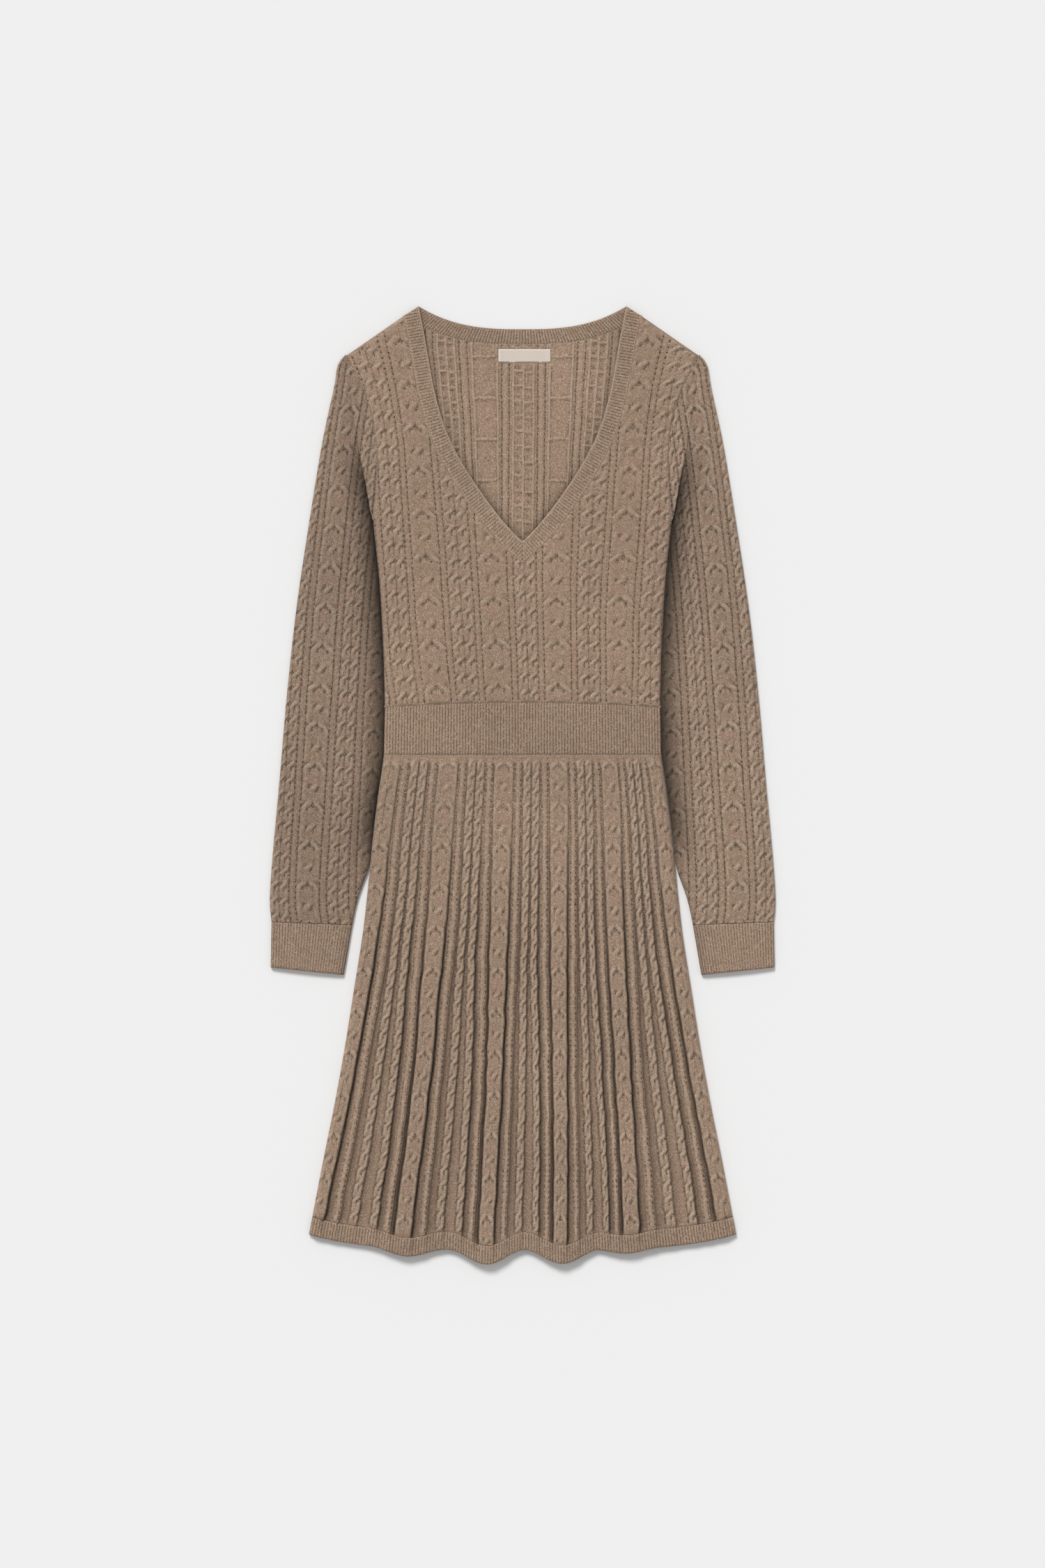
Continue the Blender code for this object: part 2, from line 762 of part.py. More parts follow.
def bodice_back(garment):
    """Lies flat; its inside has the ridges of the pattern's reverse where it shows in the neck."""
    side = bodice_side()
    outline = bodice_low() + side + back_neck(BACK_BAND_WIDTH + SEAM) + mirrored(side)
    relief = Relief(outline, 5.0)
    for index in range(2, 7):
        twin = LANES[index][0] == "twin"
        half = (TWIN if twin else BRAID)["bodice"] / 2
        for edge in (-half, 0.0, half) if twin else (-half, half):
            for shift, share in ((-RIDGE_WALE, 0.0), (0.0, 1.0), (RIDGE_WALE, 0.0)):
                line = shifted(lane_centre(index), edge + shift)
                valley(relief, line, 30.0, REVERSE_SPAN, lift=lambda y, s=share: s * ridge_lift(y))
    cloth_wall("bodice_back", relief, [], back_outer, on_floor, garment, drop=0.0)


def neckbands(garment):
    """The V band is two mitred halves; the back band joins them under the shoulder."""
    inner, outer = neck_curve(), neck_offset(BAND_WIDTH)
    ribs = round(sum(math.dist(a, b) for a, b in zip(inner, inner[1:])) / RIB_PITCH)

    def half_edge(curve, side):
        """The curve on one side, its end drawn back from the mitre."""
        def place(t):
            x, y = along(curve, t)
            return side * (x + SEAM / 2 * smooth(20.0, 0.0, x)), y
        return place

    for name, side in (("neckband_front_right", 1.0), ("neckband_front_left", -1.0)):
        edges = (half_edge(inner, side), half_edge(outer, side))
        ribbed_strip(name, edges, ribs, raised_outer, front_under, garment)
    top, low = back_neck(0.0), back_neck(BACK_BAND_WIDTH)
    ribs = round(sum(math.dist(a, b) for a, b in zip(top, top[1:])) / RIB_PITCH)
    edges = (lambda t: along(top, t), lambda t: along(low, t))
    ribbed_strip("neckband_back", edges, ribs, lambda x, y: BACK_TOP - RIB_LIFT, on_floor, garment)


def label(garment):
    """The woven label, stitched to the inside of the back just under the neckband."""
    width, height, thickness = LABEL_SIZE
    level = FRONT_UNDER + thickness / 2
    bpy.ops.mesh.primitive_cube_add(size=MILLIMETRE, location=(0.0, 0.0, 0.0))
    made = bpy.context.object
    made.name = "label"
    made.data.name = "label"
    made.scale = LABEL_SIZE
    bpy.ops.object.transform_apply(location=False, rotation=False, scale=True)
    made.location = Vector((*LABEL_CENTRE, level)) * MILLIMETRE
    for owner in list(made.users_collection):
        owner.objects.unlink(made)
    dress(made, "label", garment)


# ---------------------------------------------------------------- waistband
def waistband(garment):
    seam = waist_seam()
    half_low = body_half_width(WAIST_LOW_Y)
    ribs = round((seam[-1][0] + half_low) / RIB_PITCH)
    edges = (
        lambda t: along(seam, t),
        lambda t: (mix(-half_low, half_low, t), WAIST_LOW_Y),
    )
    ribbed_strip("waistband_front", edges, ribs, sunk_outer, front_under, garment)

    # the back band is hidden under the front one: a plain flat piece
    side = side_between(WAIST_LOW_Y, WAIST_TOP[0] - WAIST_TOP[1])
    outline = side + seam[::-1][1:] + mirrored(side)[1:]
    curve = bpy.data.curves.new("waistband_back", "CURVE")
    curve.dimensions = "2D"
    curve.fill_mode = "BOTH"
    curve.extrude = BACK_TOP / 2 * MILLIMETRE
    spline = curve.splines.new("POLY")
    spline.points.add(len(outline) - 1)
    for point, (x, y) in zip(spline.points, outline):
        point.co = (x * MILLIMETRE, y * MILLIMETRE, 0.0, 1.0)
    spline.use_cyclic_u = True
    made = bpy.data.objects.new("waistband_back", curve)
    made.location.z = curve.extrude
    dress(made, "rib", garment)


# ---------------------------------------------------------------- skirt and hem
def skirt_strips(y):
    """Each strip at height y, left to right: kind, left foot, right foot."""
    strips = []
    total = sum(width for _, width, _ in STRIPS)
    for index in range(len(SKIRT_BRAIDS) - 1):
        start, stop = braid_centre(index, y), braid_centre(index + 1, y)
        scale = min(1.0, 0.93 * (stop - start) / total)
        spare = stop - start - total * scale
        x = start
        for kind, width, share in STRIPS:
            strips.append((kind, x, x + width * scale))
            x += width * scale + share * spare
    return strips


def strip_line(number, share):
    """The line at a share of one strip's width."""
    def line(y):
        _, left, right = skirt_strips(y)[number]
        return mix(left, right, share)
    return line


def strip_rise(kind):
    """Lift of a strip over the furrows beside it, small at the waist."""
    return lambda y: STRIP_LIFT[kind] * (0.35 + 0.65 * smooth(0.05, 0.35, skirt_place(y)))


def skirt_relief(relief, span):
    """Strips stand up between furrows; braids and ropes ride on them."""
    period = ROPE_PERIOD["skirt"]
    step = (span[1] - span[0]) / 10
    for number, (kind, _, _) in enumerate(skirt_strips(span[0])):
        feet = (0.0, 1.0)
        if kind == "half_braid":
            feet = (1.0,) if number % len(STRIPS) == 0 else (0.0,)
        for foot in feet:
            valley(relief, strip_line(number, foot), step, span)
        if kind == "lace":
            valley(relief, strip_line(number, 0.5), step, span, lift=strip_rise("lace"))
        if kind == "rope":
            rope(relief, strip_line(number, 0.5), period, span, base=strip_rise("rope"))
    for index in range(len(SKIRT_BRAIDS)):
        braid(relief, lambda y, i=index: braid_centre(i, y), BRAID["skirt"], period * BRAID_TO_ROPE,
              span, base=strip_rise("half_braid"), lift=1.3)


def skirt_outline():
    top = WAIST_LOW_Y - SEAM
    hem = [(x, y + SEAM) for x, y in HEM_SEAM]
    side = side_between(hem[-1][1], top)
    waist = [(x, top) for x in (90.0, 45.0, 0.0, -45.0, -90.0)]
    return hem[1:-1] + side + waist + mirrored(side)


def skirt_grid(outline, lines, rows):
    """Inner points that follow the flutes."""
    low, high = min(y for _, y in outline) + 12.0, WAIST_LOW_Y - 12.0
    grid = []
    for j in range(rows):
        y = mix(low, high, j / (rows - 1))
        for index in range(len(SKIRT_BRAIDS) - 1):
            start, stop = braid_centre(index, y), braid_centre(index + 1, y)
            grid += [(mix(start, stop, i / lines), y, 0.0) for i in range(lines)]
    return [p for p in grid if inside(outline, p[0], p[1]) and edge_distance(outline, p[0], p[1]) > 9.0]


def skirt(garment):
    outline = skirt_outline()
    relief = Relief(outline, RINGS[0] + 1.0)
    skirt_relief(relief, (min(y for _, y in outline), WAIST_LOW_Y - 6.0))
    for distance in RINGS:
        relief.places += inset_ring(outline, distance)
    under = skirt_grid(outline, 4, 7) + inset_ring(outline, RINGS[1])
    cloth_wall("skirt_front", relief, under, front_outer, front_under, garment)
    back = Relief(outline, 5.0)
    back.places = skirt_grid(outline, 2, 6)
    cloth_wall("skirt_back", back, [], back_outer, on_floor, garment, drop=0.0)


def hem(garment):
    def seam(t):
        x = mix(-HEM_HALF[0], HEM_HALF[0], t)
        return x, look_up(HEM_SEAM, x)

    def edge(t):
        x = mix(-HEM_HALF[1], HEM_HALF[1], t)
        return x, hem_edge(x)

    # stations fall on the seam's corners, so that the seam stays an even gap
    count = len(HEM_SEAM) - 1
    ribbed_strip("hem_rib_front", (seam, edge), 2 * count, raised_outer, front_under, garment, count)
    shares = [i / count for i in range(count + 1)]
    outline = [edge(t) for t in shares] + [seam(t) for t in reversed(shares)]
    cloth_wall("hem_rib_back", Relief(outline, 0.0), [], back_outer, on_floor, garment, "rib", drop=0.0)


# ---------------------------------------------------------------- sleeves and cuffs
def sleeve_row(x, y):
    """The knit's rows drop towards the body."""
    return y - SLEEVE_ROW_TILT * (look_up(OUTER_X, y) - 40.0 - x)


def sleeve(name, side, garment):
    body_side = side_between(SLEEVE_INNER[0][1] + 10.0, ARMPIT_Y - 1.0)
    armhole = [(x + 2 * SEAM, y) for x, y in ARMHOLE_CURVE]
    inner = [(x + 2 * SEAM, y) for x, y in body_side[:-1]][::-1] + curve_through(SLEEVE_INNER, 14.0)
    high = armhole[1:-1][::-1]
    inner = [armhole[0], *inner]
    low = between(inner[-1], OUTER_CURVE[0], 10)
    edges = (OUTER_CURVE, high, inner, low)
    outline = OUTER_CURVE + high + inner + low
    relief = Relief(outline, RINGS[0] + 1.0)
    period = ROPE_PERIOD["sleeve"]
    widths = (TWIN["sleeve"], BRAID["sleeve"])
    span = (SLEEVE_OUTER[0][1] + 2.0, 422.0)
    for kind, from_edge in SLEEVE_LANES:
        cable_lane(relief, kind, lambda y, d=from_edge: look_up(OUTER_X, y) - d, widths, period, span,
                   2 * period, sleeve_row, (0.85, 0.85))
    for beside in (-0.5, 0.5):
        valley(relief, shifted(side_limit, beside), 12.0, (FOLD_X[1][0], FOLD_X[-1][0] - 2.0))
    relief.places += inset_ring(outline, RINGS[0])
    tube(name, side, edges, relief, sleeve_outer, sleeve_roof, 13, garment)


def cuff(name, side, garment):
    outer = [CUFF_OUTER[0], *between(*CUFF_OUTER, 4), CUFF_OUTER[1]]
    inner = [CUFF_INNER[1], *between(CUFF_INNER[1], CUFF_INNER[0], 4), CUFF_INNER[0]]
    high = between(outer[-1], inner[0], CUFF_RIBS)
    low = between(inner[-1], outer[0], CUFF_RIBS)
    relief = Relief(outer + high + inner + low, 0.8)
    for i in range(1, 2 * CUFF_RIBS):
        lift = RIB_LIFT if i % 2 else 0.0
        t = i / (2 * CUFF_RIBS)
        below = (mix(CUFF_INNER[0][0], CUFF_OUTER[0][0], t), mix(CUFF_INNER[0][1], CUFF_OUTER[0][1], t))
        above = (mix(CUFF_INNER[1][0], CUFF_OUTER[1][0], t), mix(CUFF_INNER[1][1], CUFF_OUTER[1][1], t))
        relief.crease([(mix(below[0], above[0], v), mix(below[1], above[1], v), lift) for v in (0.04, 0.96)])
    tube(name, side, (outer, high, inner, low), relief, lambda x, y: cuff_roof(x, y) + WALL, cuff_roof, 3,
         garment, "rib")


def build():
    for old in list(bpy.data.objects):
        bpy.data.objects.remove(old, do_unlink=True)
    garment = bpy.data.collections.new("sweater_dress")
    bpy.context.scene.collection.children.link(garment)
    bodice_back(garment)
    bodice_front(garment)
    neckbands(garment)
    label(garment)
    waistband(garment)
    skirt(garment)
    hem(garment)
    for word, side in (("right", 1.0), ("left", -1.0)):
        sleeve("sleeve_" + word, side, garment)
        cuff("cuff_" + word, side, garment)


build()
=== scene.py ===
"""Looks of a cable-knit sweater dress, laid flat with its sleeves straight down beside it.

Every knitted piece is a closed thin shell on the form of its solid, with its ropes, braids, eyelets,
ribs and creases, in a brushed and heathered yarn. Plan sizes are millimetres of the laid garment:
+X to the viewer's right, +Y towards the neck, +Z up.
"""

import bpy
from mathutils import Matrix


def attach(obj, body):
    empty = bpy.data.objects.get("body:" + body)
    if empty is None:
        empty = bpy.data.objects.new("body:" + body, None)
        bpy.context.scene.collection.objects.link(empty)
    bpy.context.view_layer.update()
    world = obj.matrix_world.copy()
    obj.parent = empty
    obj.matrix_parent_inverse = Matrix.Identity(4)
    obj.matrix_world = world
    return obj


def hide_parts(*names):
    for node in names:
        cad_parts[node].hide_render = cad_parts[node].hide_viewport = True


bl_info = {
    "name": "Sweater dress",
    "version": (1, 0, 0),
    "blender": (4, 5, 0),
    "location": "3D View > Sidebar > Dress",
    "description": "Makes the pieces of a laid cable-knit sweater dress on its packed solids",
    "category": "Object",
}

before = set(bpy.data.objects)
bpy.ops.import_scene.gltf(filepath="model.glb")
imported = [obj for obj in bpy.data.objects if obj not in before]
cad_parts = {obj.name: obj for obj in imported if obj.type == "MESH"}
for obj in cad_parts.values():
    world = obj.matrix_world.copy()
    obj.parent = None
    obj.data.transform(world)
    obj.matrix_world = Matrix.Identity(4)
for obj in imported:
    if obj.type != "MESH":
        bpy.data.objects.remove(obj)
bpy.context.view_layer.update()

import math

import bpy
import numpy as np
from mathutils import Vector, geometry

MM = 0.001

# ---------------------------------------------------------------- outlines of the solids
TOP_Y = 469.0
WAIST_TOP = (81.7, 4.8)  # waistband's upper seam: height at the middle, fall at the side
WAIST_LOW_Y = 29.0
SEAM = 0.3               # space between two solids at a seam
JOIN = 0.03              # space between two shells at a seam, which their stitches hide
WALL = 2.0               # thickness of the plain knit
BACK_TOP = 2.0
FRONT_UNDER = BACK_TOP + SEAM
BODY_DOME = 2.0          # lift of the front panels over the back ones
ROUNDING = 7.0           # distance over which that lift begins at an edge
CAP_LEVEL = 5.4          # least height of the sleeve's cap where it lies on the body
SLEEVE_CROWN = 1.5       # lift of a sleeve's middle over its edges
CUFF_CROWN = 1.1
HALF_NECK = 101.5        # half the neck's width at the shoulder seams
SHOULDER_SLOPE = 0.64    # fall of the shoulder for each millimetre outwards
BAND_WIDTH = 16.5
HEM_HEIGHT = 18.0
HEM_HALF = (205.9, 209.2)
BACK_NECK_DROP = 22.3
BACK_BAND_WIDTH = 15.0
LABEL_SIZE = (50.8, 12.5, 0.6)
LABEL_CENTRE = (1.9, 420.8)
CUFF_ROUND = 79.5        # laid width of a cuff at its seam
CUFF_EDGE = 75.0         # and at its edge
CUFF_COLUMNS = 79.0      # laid width over which its columns of stitches are spread
HEM_LEVEL = -436.0       # height at which the hem rib takes over the skirt's pleats
KNIT_HEIGHT = -100.0     # height at which the skirt's columns of stitches are counted
SQUARE_METRE = 1e6       # in square millimetres
HEM_ARC = (-455.0, 15.0)
ARMPIT_Y = 256.7

BODY_SIDE = (
    # half_width, height: side fold, armpit down to the hem
    (146.0, 256.7), (140.8, 207.5), (138.1, 168.5), (135.7, 116.6), (134.9, 77.2), (135.4, 53.0),
    (135.9, 29.0), (141.3, -9.0), (146.6, -52.0), (151.9, -105.0), (156.8, -147.0), (165.3, -201.0),
    (174.0, -256.0), (183.9, -311.0), (194.8, -365.0), (205.9, -422.9), (209.2, -440.0),
)
ARMHOLE = (
    # from_centre, height: armpit up to the shoulder point
    (146.0, 256.7), (143.2, 290.0), (142.2, 318.0), (143.6, 342.0), (147.2, 363.0), (154.5, 386.0),
    (162.0, 402.0), (172.3, 420.8),
)
SLEEVE_FOLD = (
    # from_centre, height: where the sleeve cap turns under
    (146.6, 258.0), (149.0, 268.0), (153.6, 295.0), (160.6, 331.0), (165.4, 362.0), (171.5, 407.0),
)
SLEEVE_OUTER = (
    # from_centre, height: cuff up to the shoulder point
    (246.0, -134.0), (247.6, -112.0), (245.0, -70.0), (238.2, 4.0), (231.1, 86.0), (222.2, 168.0),
    (210.2, 250.0), (196.9, 332.0), (184.9, 389.0), (180.8, 412.0), (173.2, 421.6),
)
SLEEVE_INNER = ((152.3, -86.0), (161.5, -112.0), (167.0, -137.0))
CUFF_OUTER = ((246.8, -178.6), (246.0, -134.3))
CUFF_INNER = ((175.4, -186.0), (167.1, -137.3))
NECK_INNER = (
    # from_centre, height: shoulder down to the point of the V
    (101.5, 469.0), (95.9, 441.0), (91.9, 418.0), (85.7, 384.5), (75.9, 350.4), (63.6, 323.7),
    (50.6, 301.8), (34.5, 278.5), (20.6, 260.5), (8.9, 247.1), (0.0, 238.9),
)
HEM_WAVES = ((-113.0, 38.0, 7.4), (-35.0, 38.0, 14.0), (39.0, 38.0, 13.3), (102.0, 34.0, 4.2))

# ---------------------------------------------------------------- the knit's layout
GAP_HEIGHTS = (85.0, 120.0, 160.0, 200.0, 240.0, 280.0, 330.0, 360.0, 391.0, 416.0, 445.0)
GAPS = (
    # middle of each band of eyelets between two lanes, at those heights
    (-127.5, -132.5, -135.2, -137.2, -140.7, -143.0, -146.0, -150.5, -158.8, -169.7, -182.0),
    (-98.8, -103.4, -107.4, -109.8, -112.6, -115.3, -118.3, -122.0, -127.6, -132.6, -139.5),
    (-66.8, -70.6, -73.9, -76.6, -79.3, -83.0, -87.5, -90.0, -94.0, -98.0, -103.0),
    (-39.2, -41.8, -43.7, -46.3, -48.8, -51.5, -54.0, -56.0, -58.0, -60.0, -62.0),
    (-6.9, -8.1, -10.0, -11.9, -13.0, -14.0, -15.5, -16.5, -17.0, -17.5, -18.0),
    (19.2, 18.6, 17.6, 16.5, 16.5, 17.0, 18.0, 19.0, 20.0, 21.0, 22.0),
    (51.2, 50.8, 50.0, 50.1, 51.7, 53.0, 55.0, 57.0, 59.0, 61.0, 63.0),
    (79.4, 79.0, 78.5, 80.3, 83.3, 86.0, 90.0, 93.0, 97.0, 101.0, 106.0),
    (109.6, 111.0, 111.3, 113.4, 116.7, 119.6, 122.1, 125.6, 130.2, 135.8, 142.6),
    (141.0, 139.5, 138.6, 144.5, 147.2, 149.0, 152.5, 157.0, 162.1, 173.3, 186.0),
)
GAP_REFERENCE = 3        # column of the table at which the knit has its own width
EYELET_REACH = 3.05      # from the middle of a band of eyelets to each of its two lines
SLEEVE_EYELET_REACH = 3.3
LANE_MARGIN = 1.1        # plain stitches between a line of eyelets and the cable
OUTER_LANE = 33.4        # width of the part lanes beyond the table
REVERSE_HEIGHTS = (240.0, 300.0, 350.0, 430.0)
REVERSE_GAPS = (
    # middle of each band of eyelets on the inside of the back, at those heights
    (-106.0, -112.0, -117.0, -126.0),
    (-76.0, -80.0, -84.0, -92.0),
    (-49.0, -51.5, -54.0, -58.5),
    (-17.4, -17.0, -16.6, -16.4),
    (17.4, 18.0, 18.3, 19.0),
    (49.0, 51.5, 54.0, 58.5),
    (76.0, 80.0, 84.0, 92.0),
    (106.0, 112.0, 117.0, 126.0),
)
REVERSE_REACH = 3.5      # inside the back: from a band's middle to its lines of eyelets
REVERSE_LANE = 7.6       # and to the edge of the lane
REVERSE_START = (228.0, 238.0)     # heights between which the reverse's relief begins, under the V
ROPE_ROW = {"bodice": 90.7, "sleeve": 91.3, "skirt": -5.0}      # height of one rope crossing
ROPE_PERIOD = {"bodice": 16.0, "sleeve": 14.8, "skirt": 14.8}
BRAID_ROW = {"bodice": 97.0, "sleeve": 95.7, "skirt": -20.0}    # height of one arched row
BRAID_PERIOD = {"bodice": 42.3, "sleeve": 38.7, "skirt": 40.4}
RUNG_ROW = (405.0, 379.5)          # height of a rung inside the back: rope lanes, braid lanes
RUNG_PERIOD = (14.65, 40.4)
SLEEVE_HEIGHTS = (-130.0, 110.0, 300.0, 400.0)
SLEEVE_GAPS = (
    # middle of each band of eyelets, in from the outer edge, at those heights
    (112.0, 101.0, 90.0, 83.0),
    (82.0, 71.6, 62.0, 56.0),
    (52.0, 46.5, 37.0, 32.0),
    (22.5, 16.2, 10.0, 6.0),
    (-4.0, -10.0, -15.0, -18.0),
)
SLEEVE_ROW_TILT = 0.10
SKIRT_BRAIDS = (
    # at_waist, at_hem, flute
    (-0.947, -0.985, 0.15), (-0.529, -0.560, 0.75), (-0.130, -0.168, 1.00),
    (0.260, 0.174, 1.00), (0.625, 0.500, 0.75), (0.952, 0.965, 0.15),
)
STRIP_HEIGHTS = (29.0, -20.0, -80.0, -165.0, -252.0, -378.0, -440.0)
STRIPS = (
    # kind, its width, then the width of the groove after it, at those heights
    ("braid", (10.0, 10.0, 9.6, 9.2, 8.2, 7.9, 7.8), (0.0, 0.2, 0.7, 1.5, 1.7, 5.1, 6.0)),
    ("lace", (10.0, 10.0, 10.0, 10.0, 9.2, 8.2, 8.0), (0.0, 0.2, 0.6, 1.8, 4.8, 7.0, 7.6)),
    ("rope", (8.7, 8.6, 8.3, 7.9, 8.3, 8.6, 8.6), (0.0, 0.3, 1.0, 2.5, 5.7, 9.8, 10.6)),
    ("rope", (8.7, 8.6, 8.2, 7.8, 7.8, 7.5, 7.5), (0.0, 0.3, 1.0, 2.4, 3.0, 3.9, 4.2)),
    ("lace", (10.0, 10.0, 9.8, 9.6, 8.7, 7.8, 7.7), (0.0, 0.2, 0.7, 1.5, 1.7, 3.1, 3.6)),
    ("braid", (10.0, 10.0, 9.6, 9.2, 8.2, 7.9, 7.8), (0.0, 0.0, 0.0, 0.0, 0.0, 0.0, 0.0)),
)
GROOVES = (
    # depth under the body's level and strength of the painted shade at the left, then the same at the right
    (1.4, 0.84, 0.8, 0.38), (0.9, 0.55, 0.6, 0.25), (0.7, 0.38, 0.5, 0.15),
    (1.2, 0.72, 0.9, 0.45), (1.3, 0.52, 1.4, 0.88),
)
STRIP_LIFT = {"braid": 1.9, "lace": 1.35, "rope": 1.15}
FLUTE_HEIGHT = 4.0       # lift of the skirt's large folds at the hem
BACK_SHARE = 0.6         # share of those folds that the back takes
CREASES = {
    # x, y, direction in degrees, half length, half width, depth: soft troughs, and ridges below 0
    "bodice": (
        (-118.0, 232.0, 62.0, 42.0, 7.0, 0.9), (-96.0, 205.0, 40.0, 30.0, 6.0, 0.6),
        (119.0, 226.0, 118.0, 46.0, 7.5, 0.9), (98.0, 188.0, 140.0, 28.0, 5.0, 0.5),
        (-60.0, 108.0, 96.0, 24.0, 6.0, 0.5), (14.0, 112.0, 84.0, 20.0, 5.0, 0.4),
        (72.0, 104.0, 88.0, 26.0, 6.0, 0.6), (-28.0, 190.0, 12.0, 40.0, 9.0, -0.5),
        (-128.0, 350.0, 58.0, 34.0, 6.0, 0.7), (131.0, 342.0, 120.0, 30.0, 6.0, 0.7),
        (46.0, 150.0, 24.0, 36.0, 8.0, 0.4),
    ),
    "skirt": (
        (-70.0, 4.0, 92.0, 22.0, 5.0, 0.5), (22.0, 8.0, 86.0, 18.0, 4.5, 0.5),
        (96.0, 2.0, 98.0, 24.0, 5.0, 0.6), (-120.0, -120.0, 102.0, 60.0, 9.0, 0.5),
        (118.0, -160.0, 78.0, 70.0, 9.0, 0.5),
    ),
    "sleeve": (
        (176.0, 196.0, 105.0, 52.0, 8.0, 0.9), (190.0, 60.0, 60.0, 40.0, 9.0, 0.6),
        (214.0, 120.0, 96.0, 46.0, 8.0, -0.4), (172.0, 10.0, 88.0, 44.0, 7.0, 0.8),
        (206.0, -60.0, 118.0, 34.0, 8.0, 0.5), (196.0, 300.0, 100.0, 44.0, 7.0, 0.6),
        (176.0, -104.0, 80.0, 26.0, 5.0, 0.7),
    ),
}


# ---------------------------------------------------------------- sizes and colours a user may change
def length(name, description, millimetres):
    return bpy.props.FloatProperty(
        name=name, description=description, default=millimetres * MM, unit="LENGTH", precision=5
    )


def colour(name, description, code):
    return bpy.props.FloatVectorProperty(
        name=name, description=description, default=linear(code), subtype="COLOR", min=0.0, max=1.0
    )


def linear(code):
    """A colour written as sRGB hex, turned to linear light."""
    values = [int(code[i:i + 2], 16) / 255.0 for i in (0, 2, 4)]
    return tuple(v / 12.92 if v <= 0.04045 else ((v + 0.055) / 1.055) ** 2.4 for v in values)


class KnitSizes(bpy.types.PropertyGroup):
    rope_lift: length("Rope lift", "Height of the small ropes over the plain knit", 1.5)
    braid_lift: length("Braid lift", "Height of the four-strand braids", 1.65)
    rib_pitch: length("Rib pitch", "Distance between two ribs of the bands", 2.85)
    rib_lift: length("Rib lift", "Height of a rib over its furrow", 0.52)
    wale: length("Wale", "Width of one column of stitches", 1.4)
    course: length("Course", "Height of one row of stitches", 1.5)
    eyelet_pitch: length("Eyelet pitch", "Distance between two eyelets of a line", 5.3)
    mesh_step: length("Mesh step", "Distance between two points of the dense sides", 1.12)


class YarnColours(bpy.types.PropertyGroup):
    tan: colour("Tan", "Main colour of the yarn", "A18671")
    # dark fibres, and the painted shade in the knit's hollows and furrows
    dark_fibre_and_shade: colour("Brown", "Darker fibres and the hollows of the knit", "6F5A4A")
    rose: colour("Rose", "Patches where the yarn runs pinkish", "A98476")
    # pale fibres, and the painted highlight on the crests of the relief
    light: colour("Light", "Crests and pale fibres", "D0BDA8")
    # painted shade seen through an eyelet
    eyelet_shade: colour("Hole", "What shows through an eyelet", "3C2F25")
    label: colour("Label", "Woven label", "D8CBBE")
    label_edge: colour("Label edge", "Folded edge and stitches of the label", "E6DDD2")


class StudioSizes(bpy.types.PropertyGroup):
    floor: colour("Floor", "Plain pale floor", "EFEFEF")
    camera_height: bpy.props.FloatProperty(
        name="Camera height", description="Camera over the floor", default=4.27, unit="LENGTH"
    )
    lens: bpy.props.FloatProperty(name="Lens", description="Focal length in millimetres", default=100.0)
    fill: bpy.props.FloatProperty(name="Fill", description="Strength of the even light", default=0.50)
    key: bpy.props.FloatProperty(name="Key", description="Strength of the main light", default=2.22)


def knit_sizes():
    return bpy.context.scene.dress_knit


def yarn():
    return bpy.context.scene.dress_yarn


# ---------------------------------------------------------------- small tools
def smooth(low, high, value):
    """0 at low, 1 at high, and an S curve between."""
    t = np.clip((value - low) / (high - low), 0.0, 1.0)
    return t * t * (3.0 - 2.0 * t)


def mix(a, b, t):
    return a + (b - a) * t


def curve_through(points, step):
    """Catmull-Rom curve through the points, with a point about every step."""
    p = np.array(points, dtype=float)
    p = np.vstack((p[:1], p, p[-1:]))
    rows = []
    for a, b, c, d in zip(p, p[1:], p[2:], p[3:]):
        count = max(1, round(math.dist(b, c) / step))
        t = (np.arange(count) / count)[:, None]
        square = (2 * a - 5 * b + 4 * c - d) * t * t
        cube = (3 * b - a - 3 * c + d) * t ** 3
        rows.append(0.5 * (2 * b + (c - a) * t + square + cube))
    return np.vstack((*rows, p[-1:]))


def at_height(line, y):
    """Distance from the centre of a steep line at height y."""
    line = np.asarray(line, dtype=float)
    order = np.argsort(line[:, 1])
    return np.interp(y, line[order, 1], line[order, 0])


def mirrored(line):
    return line[::-1] * (-1.0, 1.0)


def point_on(line, shares):
    """Points at shares of a line's length."""
    line = np.asarray(line, dtype=float)
    run = np.concatenate(([0.0], np.cumsum(np.hypot(*np.diff(line, axis=0).T))))
    goal = np.asarray(shares) * run[-1]
    return np.column_stack((np.interp(goal, run, line[:, 0]), np.interp(goal, run, line[:, 1])))


def run_of(line):
    return float(np.hypot(*np.diff(np.asarray(line), axis=0).T).sum())


def resampled(line, step):
    return point_on(line, np.linspace(0.0, 1.0, max(1, round(run_of(line) / step)) + 1))


def joined(*lines):
    """One closed outline from lines that follow each other, without doubled corners."""
    points = [lines[0][:1]]
    for line in lines:
        keep = line if math.dist(points[-1][-1], line[0]) > 0.05 else line[1:]
        points.append(keep)
    outline = np.vstack(points)[1:]
    return outline if math.dist(outline[0], outline[-1]) > 0.05 else outline[:-1]


def inside(outline, points):
    hit = np.zeros(len(points), dtype=bool)
    x, y = points[:, 0], points[:, 1]
    for (x0, y0), (x1, y1) in zip(outline, np.roll(outline, -1, axis=0)):
        if y0 != y1:
            hit ^= ((y0 > y) != (y1 > y)) & (x < x0 + (y - y0) * (x1 - x0) / (y1 - y0))
    return hit


def distance_to(line, points, closed=True):
    """Distance from each point to the nearest point of a line."""
    best = np.full(len(points), 1e9)
    ends = np.roll(line, -1, axis=0) if closed else line[1:]
    for a, b in zip(line, ends):
        d = b - a
        t = np.clip(((points - a) @ d) / max(float(d @ d), 1e-9), 0.0, 1.0)
        off = points - a - t[:, None] * d
        best = np.minimum(best, off[:, 0] ** 2 + off[:, 1] ** 2)
    return np.sqrt(best)


